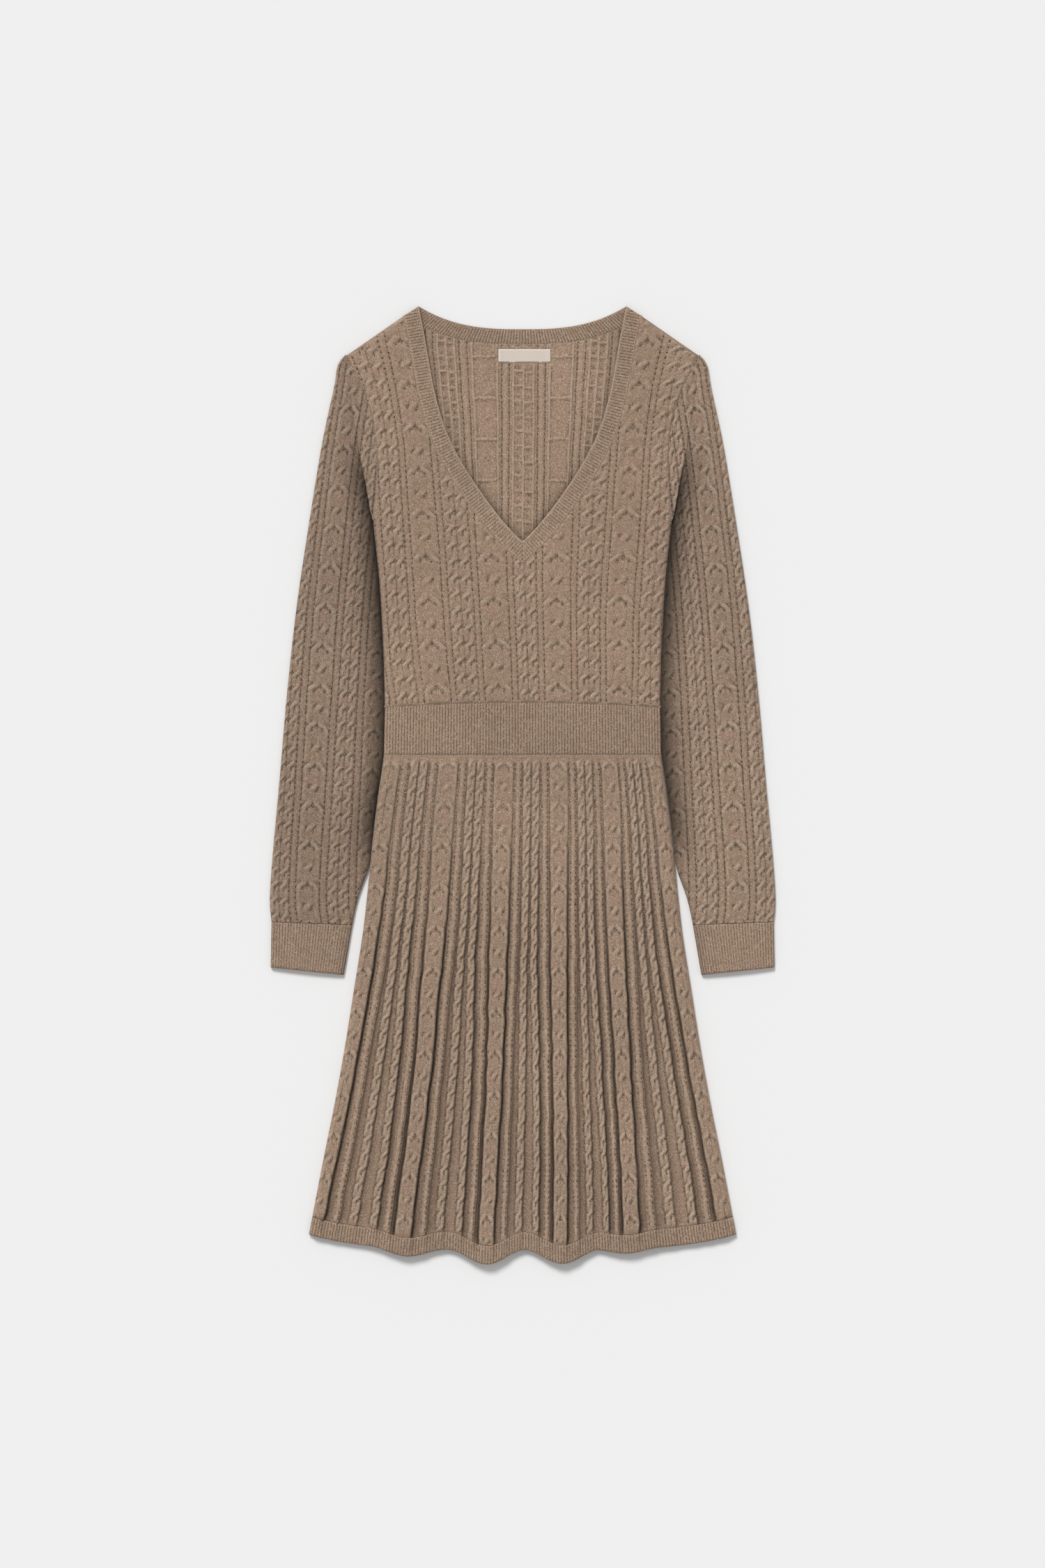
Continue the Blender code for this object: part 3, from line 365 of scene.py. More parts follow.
def nearest(lines, points):
    """Distance to the nearest of several open lines."""
    return np.min([distance_to(line, points, closed=False) for line in lines], axis=0)


def along(line, points):
    """How far along a line each point's nearest place is, and how far off it the point lies."""
    best, place, run = np.full(len(points), 1e9), np.zeros(len(points)), 0.0
    for a, b in zip(line, line[1:]):
        d = b - a
        t = np.clip(((points - a) @ d) / float(d @ d), 0.0, 1.0)
        off = points - a - t[:, None] * d
        off = off[:, 0] ** 2 + off[:, 1] ** 2
        place = np.where(off < best, run + t * math.hypot(*d), place)
        best = np.minimum(best, off)
        run += math.hypot(*d)
    return place, np.sqrt(best)


def signed_area(outline):
    """Area inside an outline, above 0 where it runs anticlockwise."""
    x, y = outline.T
    return float(np.dot(x, np.roll(y, -1)) - np.dot(y, np.roll(x, -1))) / 2


def plan_area(outline):
    return abs(signed_area(outline))


# ---------------------------------------------------------------- lines of the garment
BODY_CURVE = curve_through(BODY_SIDE, 4.0)
ARMHOLE_CURVE = curve_through(ARMHOLE, 4.0)
OUTER_CURVE = curve_through(SLEEVE_OUTER, 4.0)
NECK_CURVE = curve_through(NECK_INNER, 8.0)


def body_half_width(y):
    return at_height(BODY_CURVE, y)


def side_between(low, high):
    """Right side fold between two heights, upwards."""
    middle = BODY_CURVE[::-1]
    middle = middle[(middle[:, 1] > low + 1.0) & (middle[:, 1] < high - 1.0)]
    return np.vstack(([(body_half_width(low), low)], middle, [(body_half_width(high), high)]))


def side_limit(y):
    return np.where(y > SLEEVE_FOLD[0][1], at_height(SLEEVE_FOLD, y), body_half_width(y))


def waist_seam():
    """Top edge of the waistband, left to right."""
    middle, fall = WAIST_TOP
    x = np.linspace(-1.0, 1.0, 61)
    return np.column_stack((x * body_half_width(middle - fall), middle - fall * x * x))


def neck_offset(distance):
    """The neck curve moved away from the centre, shoulder to the centre line, right side."""
    curve = NECK_CURVE
    ahead = curve[2:] - curve[:-2]
    ahead /= np.hypot(*ahead.T)[:, None]
    offset = curve[1:-1] + np.column_stack((-ahead[:, 1], ahead[:, 0])) * distance
    lead = (curve[0] - curve[1]) / math.dist(curve[0], curve[1])
    out = distance / (lead[1] + lead[0] * SHOULDER_SLOPE)
    slope = curve[-1] - curve[-2]
    low = curve[-1][1] - distance * math.hypot(*slope) / abs(slope[0])
    offset = offset[(offset[:, 0] > 1.5) & (offset[:, 1] > low + 1.0)]
    return np.vstack(([(HALF_NECK + out, TOP_Y - out * SHOULDER_SLOPE)], offset, [(0.0, low)]))


def back_neck(distance):
    """Back neck edge from right to left."""
    angle = np.linspace(0.0, math.pi, 65)
    half = HALF_NECK + distance
    drop = BACK_NECK_DROP + distance * (1.0 - SHOULDER_SLOPE)
    y = TOP_Y - distance * SHOULDER_SLOPE - drop * (1.0 - np.abs(np.cos(angle)) ** 2.8)
    return np.column_stack((half * np.cos(angle), y))


def hem_edge(x):
    middle, rise = HEM_ARC
    y = middle + rise * (np.abs(x) / HEM_HALF[1]) ** 4
    for centre, half, drop in HEM_WAVES:
        t = np.clip(np.abs(x - centre) / half, 0.0, 1.0)
        y = y - drop * np.cos(t * math.pi / 2) ** 2
    return y


def hem_seam_line():
    x = np.linspace(-HEM_HALF[0], HEM_HALF[0], 39)
    return np.column_stack((x, hem_edge(x) + HEM_HEIGHT))


# ---------------------------------------------------------------- levels
def dome(x, y):
    shoulder = (TOP_Y - SHOULDER_SLOPE * (np.abs(x) - HALF_NECK) - y) / math.hypot(1.0, SHOULDER_SLOPE)
    near = np.clip(np.minimum(side_limit(y) - np.abs(x), shoulder) / ROUNDING, 0.0, 1.0)
    return BODY_DOME * np.sin(near * math.pi / 2)


def skirt_place(y):
    return np.clip((WAIST_LOW_Y - y) / (WAIST_LOW_Y - HEM_ARC[0]), 0.0, 1.0)


def braid_centre(index, y):
    at_waist, at_hem, _ = SKIRT_BRAIDS[index]
    return mix(at_waist, at_hem, skirt_place(y)) * body_half_width(y)


def flute(x, y):
    """Lift of the skirt's large folds, which open towards the hem."""
    lift = np.zeros_like(x)
    centres = [braid_centre(i, y) for i in range(len(SKIRT_BRAIDS))]
    for index, (_, _, share) in enumerate(SKIRT_BRAIDS):
        for other in (index - 1, index + 1):
            if 0 <= other < len(SKIRT_BRAIDS):
                side = (x > centres[index]) == (other > index)
                reach = np.abs(centres[other] - centres[index]) * 0.62
                t = np.clip(np.abs(x - centres[index]) / reach, 0.0, 1.0)
                wave = share * 0.5 * (1.0 + np.cos(math.pi * t))
                lift = np.where(side, np.maximum(lift, wave), lift)
    return FLUTE_HEIGHT * smooth(0.12, 1.0, skirt_place(y)) * lift


def front_under(x, y):
    return FRONT_UNDER + dome(x, y) + flute(x, y)


def front_outer(x, y):
    return front_under(x, y) + WALL


def on_floor(x, y):
    return np.zeros_like(x)


def back_outer(x, y):
    return BACK_TOP + BACK_SHARE * flute(x, y)


def sleeve_limit(y):
    return np.where(y < SLEEVE_INNER[0][1], at_height(SLEEVE_INNER, y), side_limit(y))


def sleeve_roof(x, y):
    limit = sleeve_limit(y)
    across = np.clip((x - limit) / (at_height(OUTER_CURVE, y) - limit), 0.0, 1.0)
    return FRONT_UNDER + SLEEVE_CROWN * np.sin(math.pi * across)


def sleeve_outer(x, y):
    on_cap = (y > ARMPIT_Y) & (x < sleeve_limit(y))
    return np.where(on_cap, np.maximum(front_outer(x, y), CAP_LEVEL), sleeve_roof(x, y) + WALL)


def cuff_roof(x, y):
    inner = at_height(CUFF_INNER, y)
    across = np.clip((x - inner) / (at_height(CUFF_OUTER, y) - inner), 0.0, 1.0)
    return FRONT_UNDER + CUFF_CROWN * np.sin(math.pi * across)


def creased(area, x, y):
    """Lift of the soft creases of one area."""
    lift = np.zeros_like(x)
    for cx, cy, turn, half_length, half_width, depth in CREASES[area]:
        c, s = math.cos(math.radians(turn)), math.sin(math.radians(turn))
        run = ((x - cx) * c + (y - cy) * s) / half_length
        off = ((y - cy) * c - (x - cx) * s + 3.0 * np.sin(run * 2.1)) / half_width
        lift -= depth * np.exp(-off * off) * np.cos(np.clip(run, -1.0, 1.0) * math.pi / 2) ** 2
    return lift


# ---------------------------------------------------------------- cables
def grain(x, y, size, seed):
    """Soft unevenness from -1 to 1, with bumps about one size wide."""
    gx, gy = x / size + 37.3 * seed, y / size - 11.9 * seed
    ix, iy = np.floor(gx), np.floor(gy)
    fx, fy = gx - ix, gy - iy
    fx, fy = fx * fx * (3 - 2 * fx), fy * fy * (3 - 2 * fy)

    def value(i, j):
        h = np.sin(i * 127.1 + j * 311.7) * 43758.5453
        return 2.0 * (h - np.floor(h)) - 1.0

    low = mix(value(ix, iy), value(ix + 1, iy), fx)
    high = mix(value(ix, iy + 1), value(ix + 1, iy + 1), fx)
    return mix(low, high, fy)


def strand(off, radius):
    """Round top of a strand: 1 over its middle line, 0 at its edge."""
    return np.sqrt(np.clip(1.0 - (off / radius) ** 2, 0.0, 1.0))


def dent(*offsets):
    """A round dent or bump, 1 at its middle; each offset is a distance over its reach."""
    return np.exp(-sum(off * off for off in offsets))


def rope_form(across, turn):
    """Height of a two-strand rope; across is -1 to 1, and the strands cross at each half turn."""
    t = turn - np.floor(turn)
    way = 2.0 * smooth(0.27, 0.73, t) - 1.0
    cross = dent((t - 0.5) / 0.19)
    # the upper strand swells over the crossing, and the lower one sinks under it
    over = strand(across - 0.43 * way, 0.62) * (0.76 + 0.50 * cross)
    under = strand(across + 0.43 * way, 0.60) * (0.76 - 0.72 * cross)
    # a short slit between the strands before they cross, and a hollow where the lower one comes out
    slit = dent((across - 0.13) / 0.17) * smooth(0.0, 0.10, t) * smooth(0.46, 0.34, t)
    dive = dent((across + 0.32) / 0.24, (t - 0.82) / 0.10)
    return np.maximum(over, under) - 0.52 * slit - 0.24 * dive


def braid_form(across, turn):
    """Height of a four-strand braid: the outer pairs cross in an arch, then the middle pair."""
    t = turn - np.floor(turn)
    off = np.abs(across)
    outer = 2.0 * smooth(0.12, 0.38, t) - 1.0
    middle = 2.0 * smooth(0.57, 0.83, t) - 1.0
    outer_cross = dent((t - 0.25) / 0.12)
    middle_cross = dent((t - 0.70) / 0.10)
    pair = np.maximum(
        strand(off - 0.5 + 0.25 * outer, 0.36) * (0.68 + 0.40 * outer_cross),
        strand(off - 0.5 - 0.25 * outer, 0.32) * (0.68 - 0.52 * outer_cross),
    )
    core = np.maximum(
        strand(across - 0.25 * middle, 0.36) * (0.68 + 0.44 * middle_cross),
        strand(across + 0.25 * middle, 0.32) * (0.68 - 0.55 * middle_cross),
    )
    core = np.maximum(core, strand(off - 0.75, 0.30) * 0.68)
    form = np.where((t < 0.475) | (t > 0.925), pair, core)
    # between its crossings the braid is nearly plain
    calm = np.maximum(form, 0.64 * strand(across, 1.06))
    form = mix(calm, form, np.clip(1.3 * np.maximum(outer_cross, middle_cross), 0.0, 1.0))
    # pits where a strand dives under another
    pits = 0.62 * dent((off - 0.46) / 0.12, (t - 0.145) / 0.05)
    pits = pits + 0.48 * dent((across - 0.24) / 0.11, (t - 0.60) / 0.06)
    pits = pits + 0.22 * dent((across + 0.26) / 0.11, (t - 0.80) / 0.05)
    return form - pits


def wandered(x, y, across, along):
    """Places moved by the unevenness of the cables, by up to these distances."""
    return x + across * grain(x, y, 5.0, 1.0), y + along * grain(x, y, 8.0, 2.0)


def cable_lanes(u, v, gaps, kinds, area, reach=EYELET_REACH, hand=1.0):
    """Lift of the cabled knit, and the distance to the nearest line of eyelets.

    u runs across the wales and v along them, in millimetres of the knit at its own width.
    """
    sizes = knit_sizes()
    pitch = sizes.eyelet_pitch / MM
    lift = np.zeros_like(u)
    eyelet = np.full_like(u, 9.0)
    rough_u, rough_v = wandered(u, v, 0.32, 0.75)
    for left, right, kind in zip(gaps, gaps[1:], kinds):
        here = (u >= left) & (u < right)
        a, row = u[here], v[here]
        core = (right - left) / 2 - reach - LANE_MARGIN
        across = hand * (rough_u[here] - (left + right) / 2) / core
        if kind == "twin":
            side = np.where(across < 0, -0.5, 0.5)
            turn = (rough_v[here] + 0.8 * side - ROPE_ROW[area]) / ROPE_PERIOD[area] + 0.5
            form = sizes.rope_lift / MM * rope_form((across - side) * 2, turn)
        else:
            turn = (rough_v[here] - BRAID_ROW[area]) / BRAID_PERIOD[area] + 0.25
            form = sizes.braid_lift / MM * braid_form(across, turn)
        from_gap = np.minimum(a - left, right - a)
        near = np.abs(from_gap - reach)
        rib = 0.30 * np.cos(np.clip(from_gap / reach, 0.0, 1.0) * math.pi / 2) ** 2
        beside = 0.12 * dent((from_gap - reach - LANE_MARGIN) / 0.7)
        opening = 0.5 + 0.5 * np.cos(row / pitch * 2 * math.pi)
        lift[here] = np.maximum(form, np.maximum(rib, beside)) - dent(near / 0.8) * (0.04 + 0.5 * opening)
        lift[here] += 0.24 * grain(a, row, 2.6, 3.0) + 0.28 * grain(a, row, 6.0, 4.0)
        eyelet[here] = near
    return lift, eyelet


# ---------------------------------------------------------------- shells of cloth
def triangles(outline, inner):
    """Index triples over the outline's points followed by the inner ones, facing up."""
    corners = [Vector(p) for p in np.vstack((outline, inner)).tolist()]
    ring = [list(range(len(outline)))]
    _, _, faces, origins, _, _ = geometry.delaunay_2d_cdt(corners, [], ring, 1, 1e-5)
    own = np.array([o[0] if o else -1 for o in origins])
    faces = own[np.array(faces)]
    return faces[(faces >= 0).all(axis=1)]


def kept_inside(outline, points, clear):
    """The points inside an outline that don't crowd it."""
    coarse = outline[::3]
    points = points[inside(coarse, points)]
    return points[distance_to(coarse, points) > clear]


# relief gives the crests a painted highlight and the hollows painted shade; shade is further painted shade
KNIT_DATA = ("eyelet", "relief", "purl", "shade")    # after the place across and along the knit


def new_piece(name, points, faces, knit, material, node, slot):
    """One object from points in millimetres, with the knit's data on its vertices."""
    mesh = bpy.data.meshes.new(name)
    mesh.vertices.add(len(points))
    mesh.vertices.foreach_set("co", (points * MM).astype(np.float32).ravel())
    mesh.loops.add(faces.size)
    mesh.polygons.add(len(faces))
    mesh.polygons.foreach_set("loop_start", np.arange(0, faces.size, 3, dtype=np.int32))
    mesh.loops.foreach_set("vertex_index", faces.astype(np.int32).ravel())
    mesh.update(calc_edges=True)
    mesh.validate()
    mesh.shade_smooth()
    loops = np.empty(len(mesh.loops), dtype=np.int32)
    mesh.loops.foreach_get("vertex_index", loops)
    uv = mesh.uv_layers.new(name="knit")
    uv.uv.foreach_set("vector", knit[loops, :2].astype(np.float32).ravel())
    for column, word in enumerate(KNIT_DATA, start=2):
        layer = mesh.attributes.new(word, "FLOAT", "POINT")
        layer.data.foreach_set("value", knit[:, column].astype(np.float32))
    made = bpy.data.objects.new(name, mesh)
    bpy.context.scene.collection.objects.link(made)
    mesh.materials.append(material)
    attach(made, "root")
    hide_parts(node)
    return made


def knit_data(u, v, eyelet=9.0, relief=0.0, purl=0.0, shade=0.0):
    """One row of data for each point; a single number stands for all of them."""
    return np.column_stack([np.broadcast_to(c, np.shape(u)) for c in (u, v, eyelet, relief, purl, shade)])


def plain_knit(points, purl=0.0):
    """The knit's data where nothing but plain stitches shows."""
    return knit_data(points[:, 0], points[:, 1], purl=purl)


def standing(lift, x, y):
    """How far each point stands over its surroundings, the near ones counting more."""
    here, around = lift(x, y), 0.0
    for reach, weight in ((1.5, 1.1), (3.4, 0.6)):
        for k in range(6):
            c, s = math.cos(k * math.pi / 3), math.sin(k * math.pi / 3)
            around = around + weight / 6.0 * (here - lift(x + reach * c, y + reach * s))
    return around


def grid_faces(index):
    """Two triangles for each cell of a grid of point numbers."""
    corners = (index[:-1, :-1], index[1:, :-1], index[1:, 1:], index[:-1, 1:])
    a, b, c, d = [corner.ravel() for corner in corners]
    return np.vstack((np.column_stack((a, b, c)), np.column_stack((a, c, d))))


def grid_rim(index):
    """Point numbers round the edge of a grid."""
    return np.concatenate((index[:, 0], index[-1, 1:], index[-2::-1, -1], index[0, -2:0:-1]))


def wall_faces(low, high):
    """Triangles between two closed rings of point numbers, the lower one first."""
    low_after, high_after = np.roll(low, -1), np.roll(high, -1)
    return np.vstack((
        np.column_stack((low, low_after, high_after)), np.column_stack((low, high_after, high)),
    ))


def closed_panel(outline, inner, under, level, under_level, knit_of, under_purl=1.0):
    """Points, faces and knit data of one wall of cloth, closed round its outline."""
    top = np.vstack((outline, inner))
    low = np.vstack((outline, under))
    base = len(top)
    ring = np.arange(len(outline))
    faces = np.vstack((
        triangles(outline, inner), triangles(outline, under)[:, ::-1] + base, wall_faces(base + ring, ring),
    ))
    points = np.vstack((
        np.column_stack((top, level(top[:, 0], top[:, 1]))),
        np.column_stack((low, under_level(low[:, 0], low[:, 1]))),
    ))
    return points, faces, np.vstack((knit_of(top), plain_knit(low, under_purl)))


def coarse_grid(outline, step, clear):
    """Points over an outline, at an even step."""
    low, high = outline.min(axis=0), outline.max(axis=0)
    x, y = np.meshgrid(np.arange(low[0], high[0], step), np.arange(low[1], high[1], step))
    return kept_inside(outline, np.column_stack((x.ravel(), y.ravel())), clear)


def edge_roll(distance, width=3.0, drop=0.9):
    """How much a panel sinks as it rounds over its edge."""
    t = np.clip(1.0 - distance / width, 0.0, 1.0)
    return drop * (1.0 - np.sqrt(1.0 - 0.98 * t * t))


def stations(stops, step):
    """Places that fall on every stop, and about every step between."""
    parts = [np.linspace(a, b, max(1, round((b - a) / step)) + 1)[:-1] for a, b in zip(stops, stops[1:])]
    return np.concatenate((*parts, stops[-1:]))


# ---------------------------------------------------------------- bodice
def gap_lines(y):
    """Middle of every band of eyelets at each height, with the part lanes' outer edges."""
    lines = np.array([np.interp(y, GAP_HEIGHTS, row) for row in GAPS])
    return np.vstack((lines[:1] - OUTER_LANE, lines, lines[-1:] + OUTER_LANE))


def gap_reference():
    """The same lines across the knit at its own width."""
    lines = [row[GAP_REFERENCE] for row in GAPS]
    return np.array([lines[0] - OUTER_LANE, *lines, lines[-1] + OUTER_LANE])


def lane_kinds(count, first="braid"):
    other = {"braid": "twin", "twin": "braid"}
    return [first if i % 2 == 0 else other[first] for i in range(count)]


def unwrapped(x, lines, reference):
    """Place across the knit at its own width, from a place on the laid cloth."""
    u = np.zeros_like(x)
    for k in range(len(reference) - 1):
        a, b = lines[k], lines[k + 1]
        here = (x >= a) & (x < b)
        u[here] = mix(reference[k], reference[k + 1], ((x - a) / (b - a))[here])
    u = np.where(x < lines[0], reference[0] + (x - lines[0]), u)
    return np.where(x >= lines[-1], reference[-1] + (x - lines[-1]), u)


def wrapped(u, lines, reference):
    """The way back: a place on the laid cloth from a place across the knit."""
    k = np.clip(np.searchsorted(reference, u, side="right") - 1, 0, len(reference) - 2)
    share = (u - reference[k]) / (reference[k + 1] - reference[k])
    rows = np.arange(lines.shape[1])[:, None]
    return mix(lines[k[None, :], rows], lines[k[None, :] + 1, rows], share[None, :])


def waist_bend(x, y):
    """How far the rows sink towards the sides, near the waist."""
    return WAIST_TOP[1] * (x / 135.0) ** 2 * smooth(200.0, 80.0, y)


def bodice_knit_place(x, y):
    return unwrapped(x, gap_lines(y), gap_reference()), y + waist_bend(x, y)


def bodice_lift(x, y):
    u, v = bodice_knit_place(x, y)
    reference = gap_reference()
    lift, _ = cable_lanes(u, v, reference, lane_kinds(len(reference) - 1), "bodice")
    return lift


def cable_columns(reference, step, reach=EYELET_REACH):
    """Columns that fall on the eyelet lines, the lanes' edges and their middles."""
    stops, core = [], reach + LANE_MARGIN
    for a, b in zip(reference, reference[1:]):
        stops += [a, a + reach, a + core, (a + b) / 2, b - core, b - reach]
    return stations(np.array([*stops, reference[-1]]), step)


def bodice_side():
    low = WAIST_TOP[0] - WAIST_TOP[1] + SEAM
    return np.vstack((side_between(low, ARMPIT_Y)[:-1], ARMHOLE_CURVE))


class DressBodice(bpy.types.Operator):
    """Makes the front and back of the bodice, with their cables and the back's inside"""

    bl_idname = "dress.bodice"
    bl_label = "Bodice"

    def execute(self, context):
        step = knit_sizes().mesh_step / MM
        waist = waist_seam() + (0.0, JOIN)
        side, seam = bodice_side(), neck_offset(BAND_WIDTH + JOIN)
        lines = [waist, side, seam, mirrored(seam), mirrored(side)]
        outline = joined(*[resampled(line, step) for line in lines])
        reference = gap_reference()
        kinds = lane_kinds(len(reference) - 1)
        columns = cable_columns(reference, step)
        rows = np.arange(WAIST_TOP[0] - 12.0, TOP_Y, step * 1.06)
        x = wrapped(columns, gap_lines(rows), reference)
        y = np.repeat(rows[:, None], len(columns), axis=1) - waist_bend(x, rows[:, None])
        inner = kept_inside(outline, np.column_stack((x.ravel(), y.ravel())), 0.55 * step)
        folds = (side[side[:, 1] <= ARMPIT_Y][::2], np.array([side[-1], seam[0]]))
        sewn = (waist[::2], ARMHOLE_CURVE[::2], seam[::2])

        def level(x, y):
            points = np.column_stack((np.abs(x), y))
            free = nearest(folds, points)
            lift = (bodice_lift(x, y) + creased("bodice", x, y)) * smooth(0.0, 3.0, free)
            lift = lift * (0.4 + 0.6 * smooth(0.0, 2.6, nearest(sewn, points)))
            return front_outer(x, y) + lift - edge_roll(free)

        def knit_of(points):
            x, y = points.T
            u, v = bodice_knit_place(x, y)
            _, eyelet = cable_lanes(u, v, reference, kinds, "bodice")
            eyelet = eyelet * mix(1.25, 0.75, smooth(330.0, 425.0, y))
            return knit_data(u, v, eyelet, standing(bodice_lift, x, y))

        under = coarse_grid(outline, 12.0, 6.0)
        made = closed_panel(outline, inner, under, level, front_under, knit_of)
        front = new_piece("cloth_bodice_front", *made, knit_material(), "bodice_front", "knit")
        area = plan_area(outline) / SQUARE_METRE
        self.back(side, waist)
        return {"FINISHED"}

    def back(self, side, waist):
        seam = back_neck(BACK_BAND_WIDTH + JOIN)
        outline = joined(*[resampled(line, 1.6) for line in (waist, side, seam, mirrored(side))])
        reference = reverse_reference()
        stops = [reference[0]]
        for a, b in zip(reference, reference[1:]):
            near, core = REVERSE_REACH, REVERSE_LANE
            stops += [a + near, a + core, (a + b) / 2, b - core, b - near, b]
        rows = np.arange(REVERSE_START[0], TOP_Y, 1.2)
        x = wrapped(stations(np.array(stops), 1.12), reverse_lines(rows), reference)
        y = np.repeat(rows[:, None], x.shape[1], axis=1)
        shown = np.column_stack((x.ravel(), y.ravel()))
        neck = NECK_CURVE[::-1]
        limit = np.interp(shown[:, 1], neck[:, 1], neck[:, 0]) + 9.0
        shown = shown[np.abs(shown[:, 0]) < limit]
        rest = coarse_grid(outline, 9.0, 5.0)
        edge = np.interp(rest[:, 1], neck[:, 1], neck[:, 0]) + 14.0
        rest = rest[(np.abs(rest[:, 0]) > edge) | (rest[:, 1] < 220.0)]
        inner = np.vstack((kept_inside(outline, shown, 0.9), rest))

        def level(x, y):
            return back_outer(x, y) + smooth(*REVERSE_START, y) * reverse_lift(x, y)

        def knit_of(points):
            x, y = points.T
            relief = standing(reverse_lift, x, y) * smooth(*REVERSE_START, y)
            from_band = distance_to(NECK_CURVE, np.column_stack((np.abs(x), y)), closed=False)
            # painted shade inside the back along the neckband's edge, deeper towards the point of the V
            shade = mix(0.25, 0.65, smooth(330.0, 260.0, y)) * np.exp(-from_band / 5.0)
            return knit_data(x, y, reverse_eyelet(x, y), relief, 1.0, shade)

        under = coarse_grid(outline, 10.0, 5.0)
        made = closed_panel(outline, inner, under, level, on_floor, knit_of, 0.0)
        back = new_piece("cloth_bodice_back", *made, knit_material(), "bodice_back", "knit")
        area = plan_area(outline) / SQUARE_METRE


def reverse_lines(y):
    return np.array([np.interp(y, REVERSE_HEIGHTS, row) for row in REVERSE_GAPS])


def reverse_reference():
    return np.array([row[2] for row in REVERSE_GAPS])


def reverse_place(x, y):
    """Place across the reverse of the knit; its ridges wander a little."""
    return unwrapped(x, reverse_lines(y), reverse_reference()) + 0.5 * grain(x * 0.0, y, 13.0, 3.0)


def reverse_eyelet(x, y):
    """Distance to the nearest line of eyelets on the inside of the back."""
    lines = np.array([[g - REVERSE_REACH, g + REVERSE_REACH] for g in reverse_reference()]).ravel()
    return np.abs(reverse_place(x, y)[:, None] - lines[None, :]).min(axis=1) * 0.8


def reverse_lift(x, y):
    """Lift of the pattern's reverse: purl lanes between raised cords, with rungs across them."""
    u = reverse_place(x, y)
    reference = reverse_reference()
    lift = 0.16 * grain(x, y, 2.2, 4.0) + 0.25 * grain(x, y, 7.0, 4.5)
    rung = (y - RUNG_ROW[0]) / RUNG_PERIOD[0]
    rung = (rung - np.round(rung)) * RUNG_PERIOD[0]
    step = (y - RUNG_ROW[1]) / RUNG_PERIOD[1]
    bar = (step - np.round(step)) * RUNG_PERIOD[1] + 0.8 * grain(x, y, 4.0, 5.0)
    knot = (step + 0.5 - np.round(step + 0.5)) * RUNG_PERIOD[1]
    for index, (a, b) in enumerate(zip(reference, reference[1:])):
        here = (u >= a) & (u < b)
        off = u - (a + b) / 2
        half = (b - a) / 2 - REVERSE_LANE
        ridge = dent((np.abs(off) - half) / 0.75)
        between = np.abs(off) < half
        if index % 2:
            ridge = np.maximum(ridge, 0.9 * dent(off / 0.8))
            strength = 0.65 + 0.3 * grain(x, y, 5.0, 8.0)
            ridge = np.maximum(ridge, strength * dent((rung + 0.9 * np.sign(off)) / 0.9) * between)
            ridge = ridge - 0.35 * dent((np.abs(off) - half / 2) / 1.6, (np.abs(rung) - 4.0) / 3.0)
        else:
            ridge = np.maximum(ridge, (0.85 + 0.25 * np.cos(off * 1.5)) * dent(bar / 1.0) * between)
            ridge = ridge + 0.55 * dent(off / 3.6, knot / 3.6) * grain(x, y, 2.4, 6.0)
        from_gap = np.minimum(u - a, b - u)
        band = 0.45 * dent(from_gap / 1.8) - 0.7 * dent((from_gap - REVERSE_REACH) / 0.9)
        rough = 1.0 + 0.3 * grain(x, y, 1.3, 7.0) + 0.3 * grain(x, y, 5.0, 7.5)
        lift = np.where(here, lift + 1.5 * ridge * rough + band, lift)
    width, height, _ = LABEL_SIZE
    cx, cy = LABEL_CENTRE
    apart = np.maximum(np.abs(x - cx) - width / 2, np.abs(y - cy) - height / 2)
    return lift * smooth(1.0, 3.0, apart)


# ---------------------------------------------------------------- ribbed bands
def rib_wave(ribs, x, y):
    """Profile of 1x1 rib, round crests and narrow furrows, a little uneven over the cloth."""
    return np.abs(np.sin(math.pi * ribs)) * (0.92 + 0.16 * grain(x, y, 3.0, 7.0))


def rib_relief(wave):
    return 1.9 * (wave - 0.62)


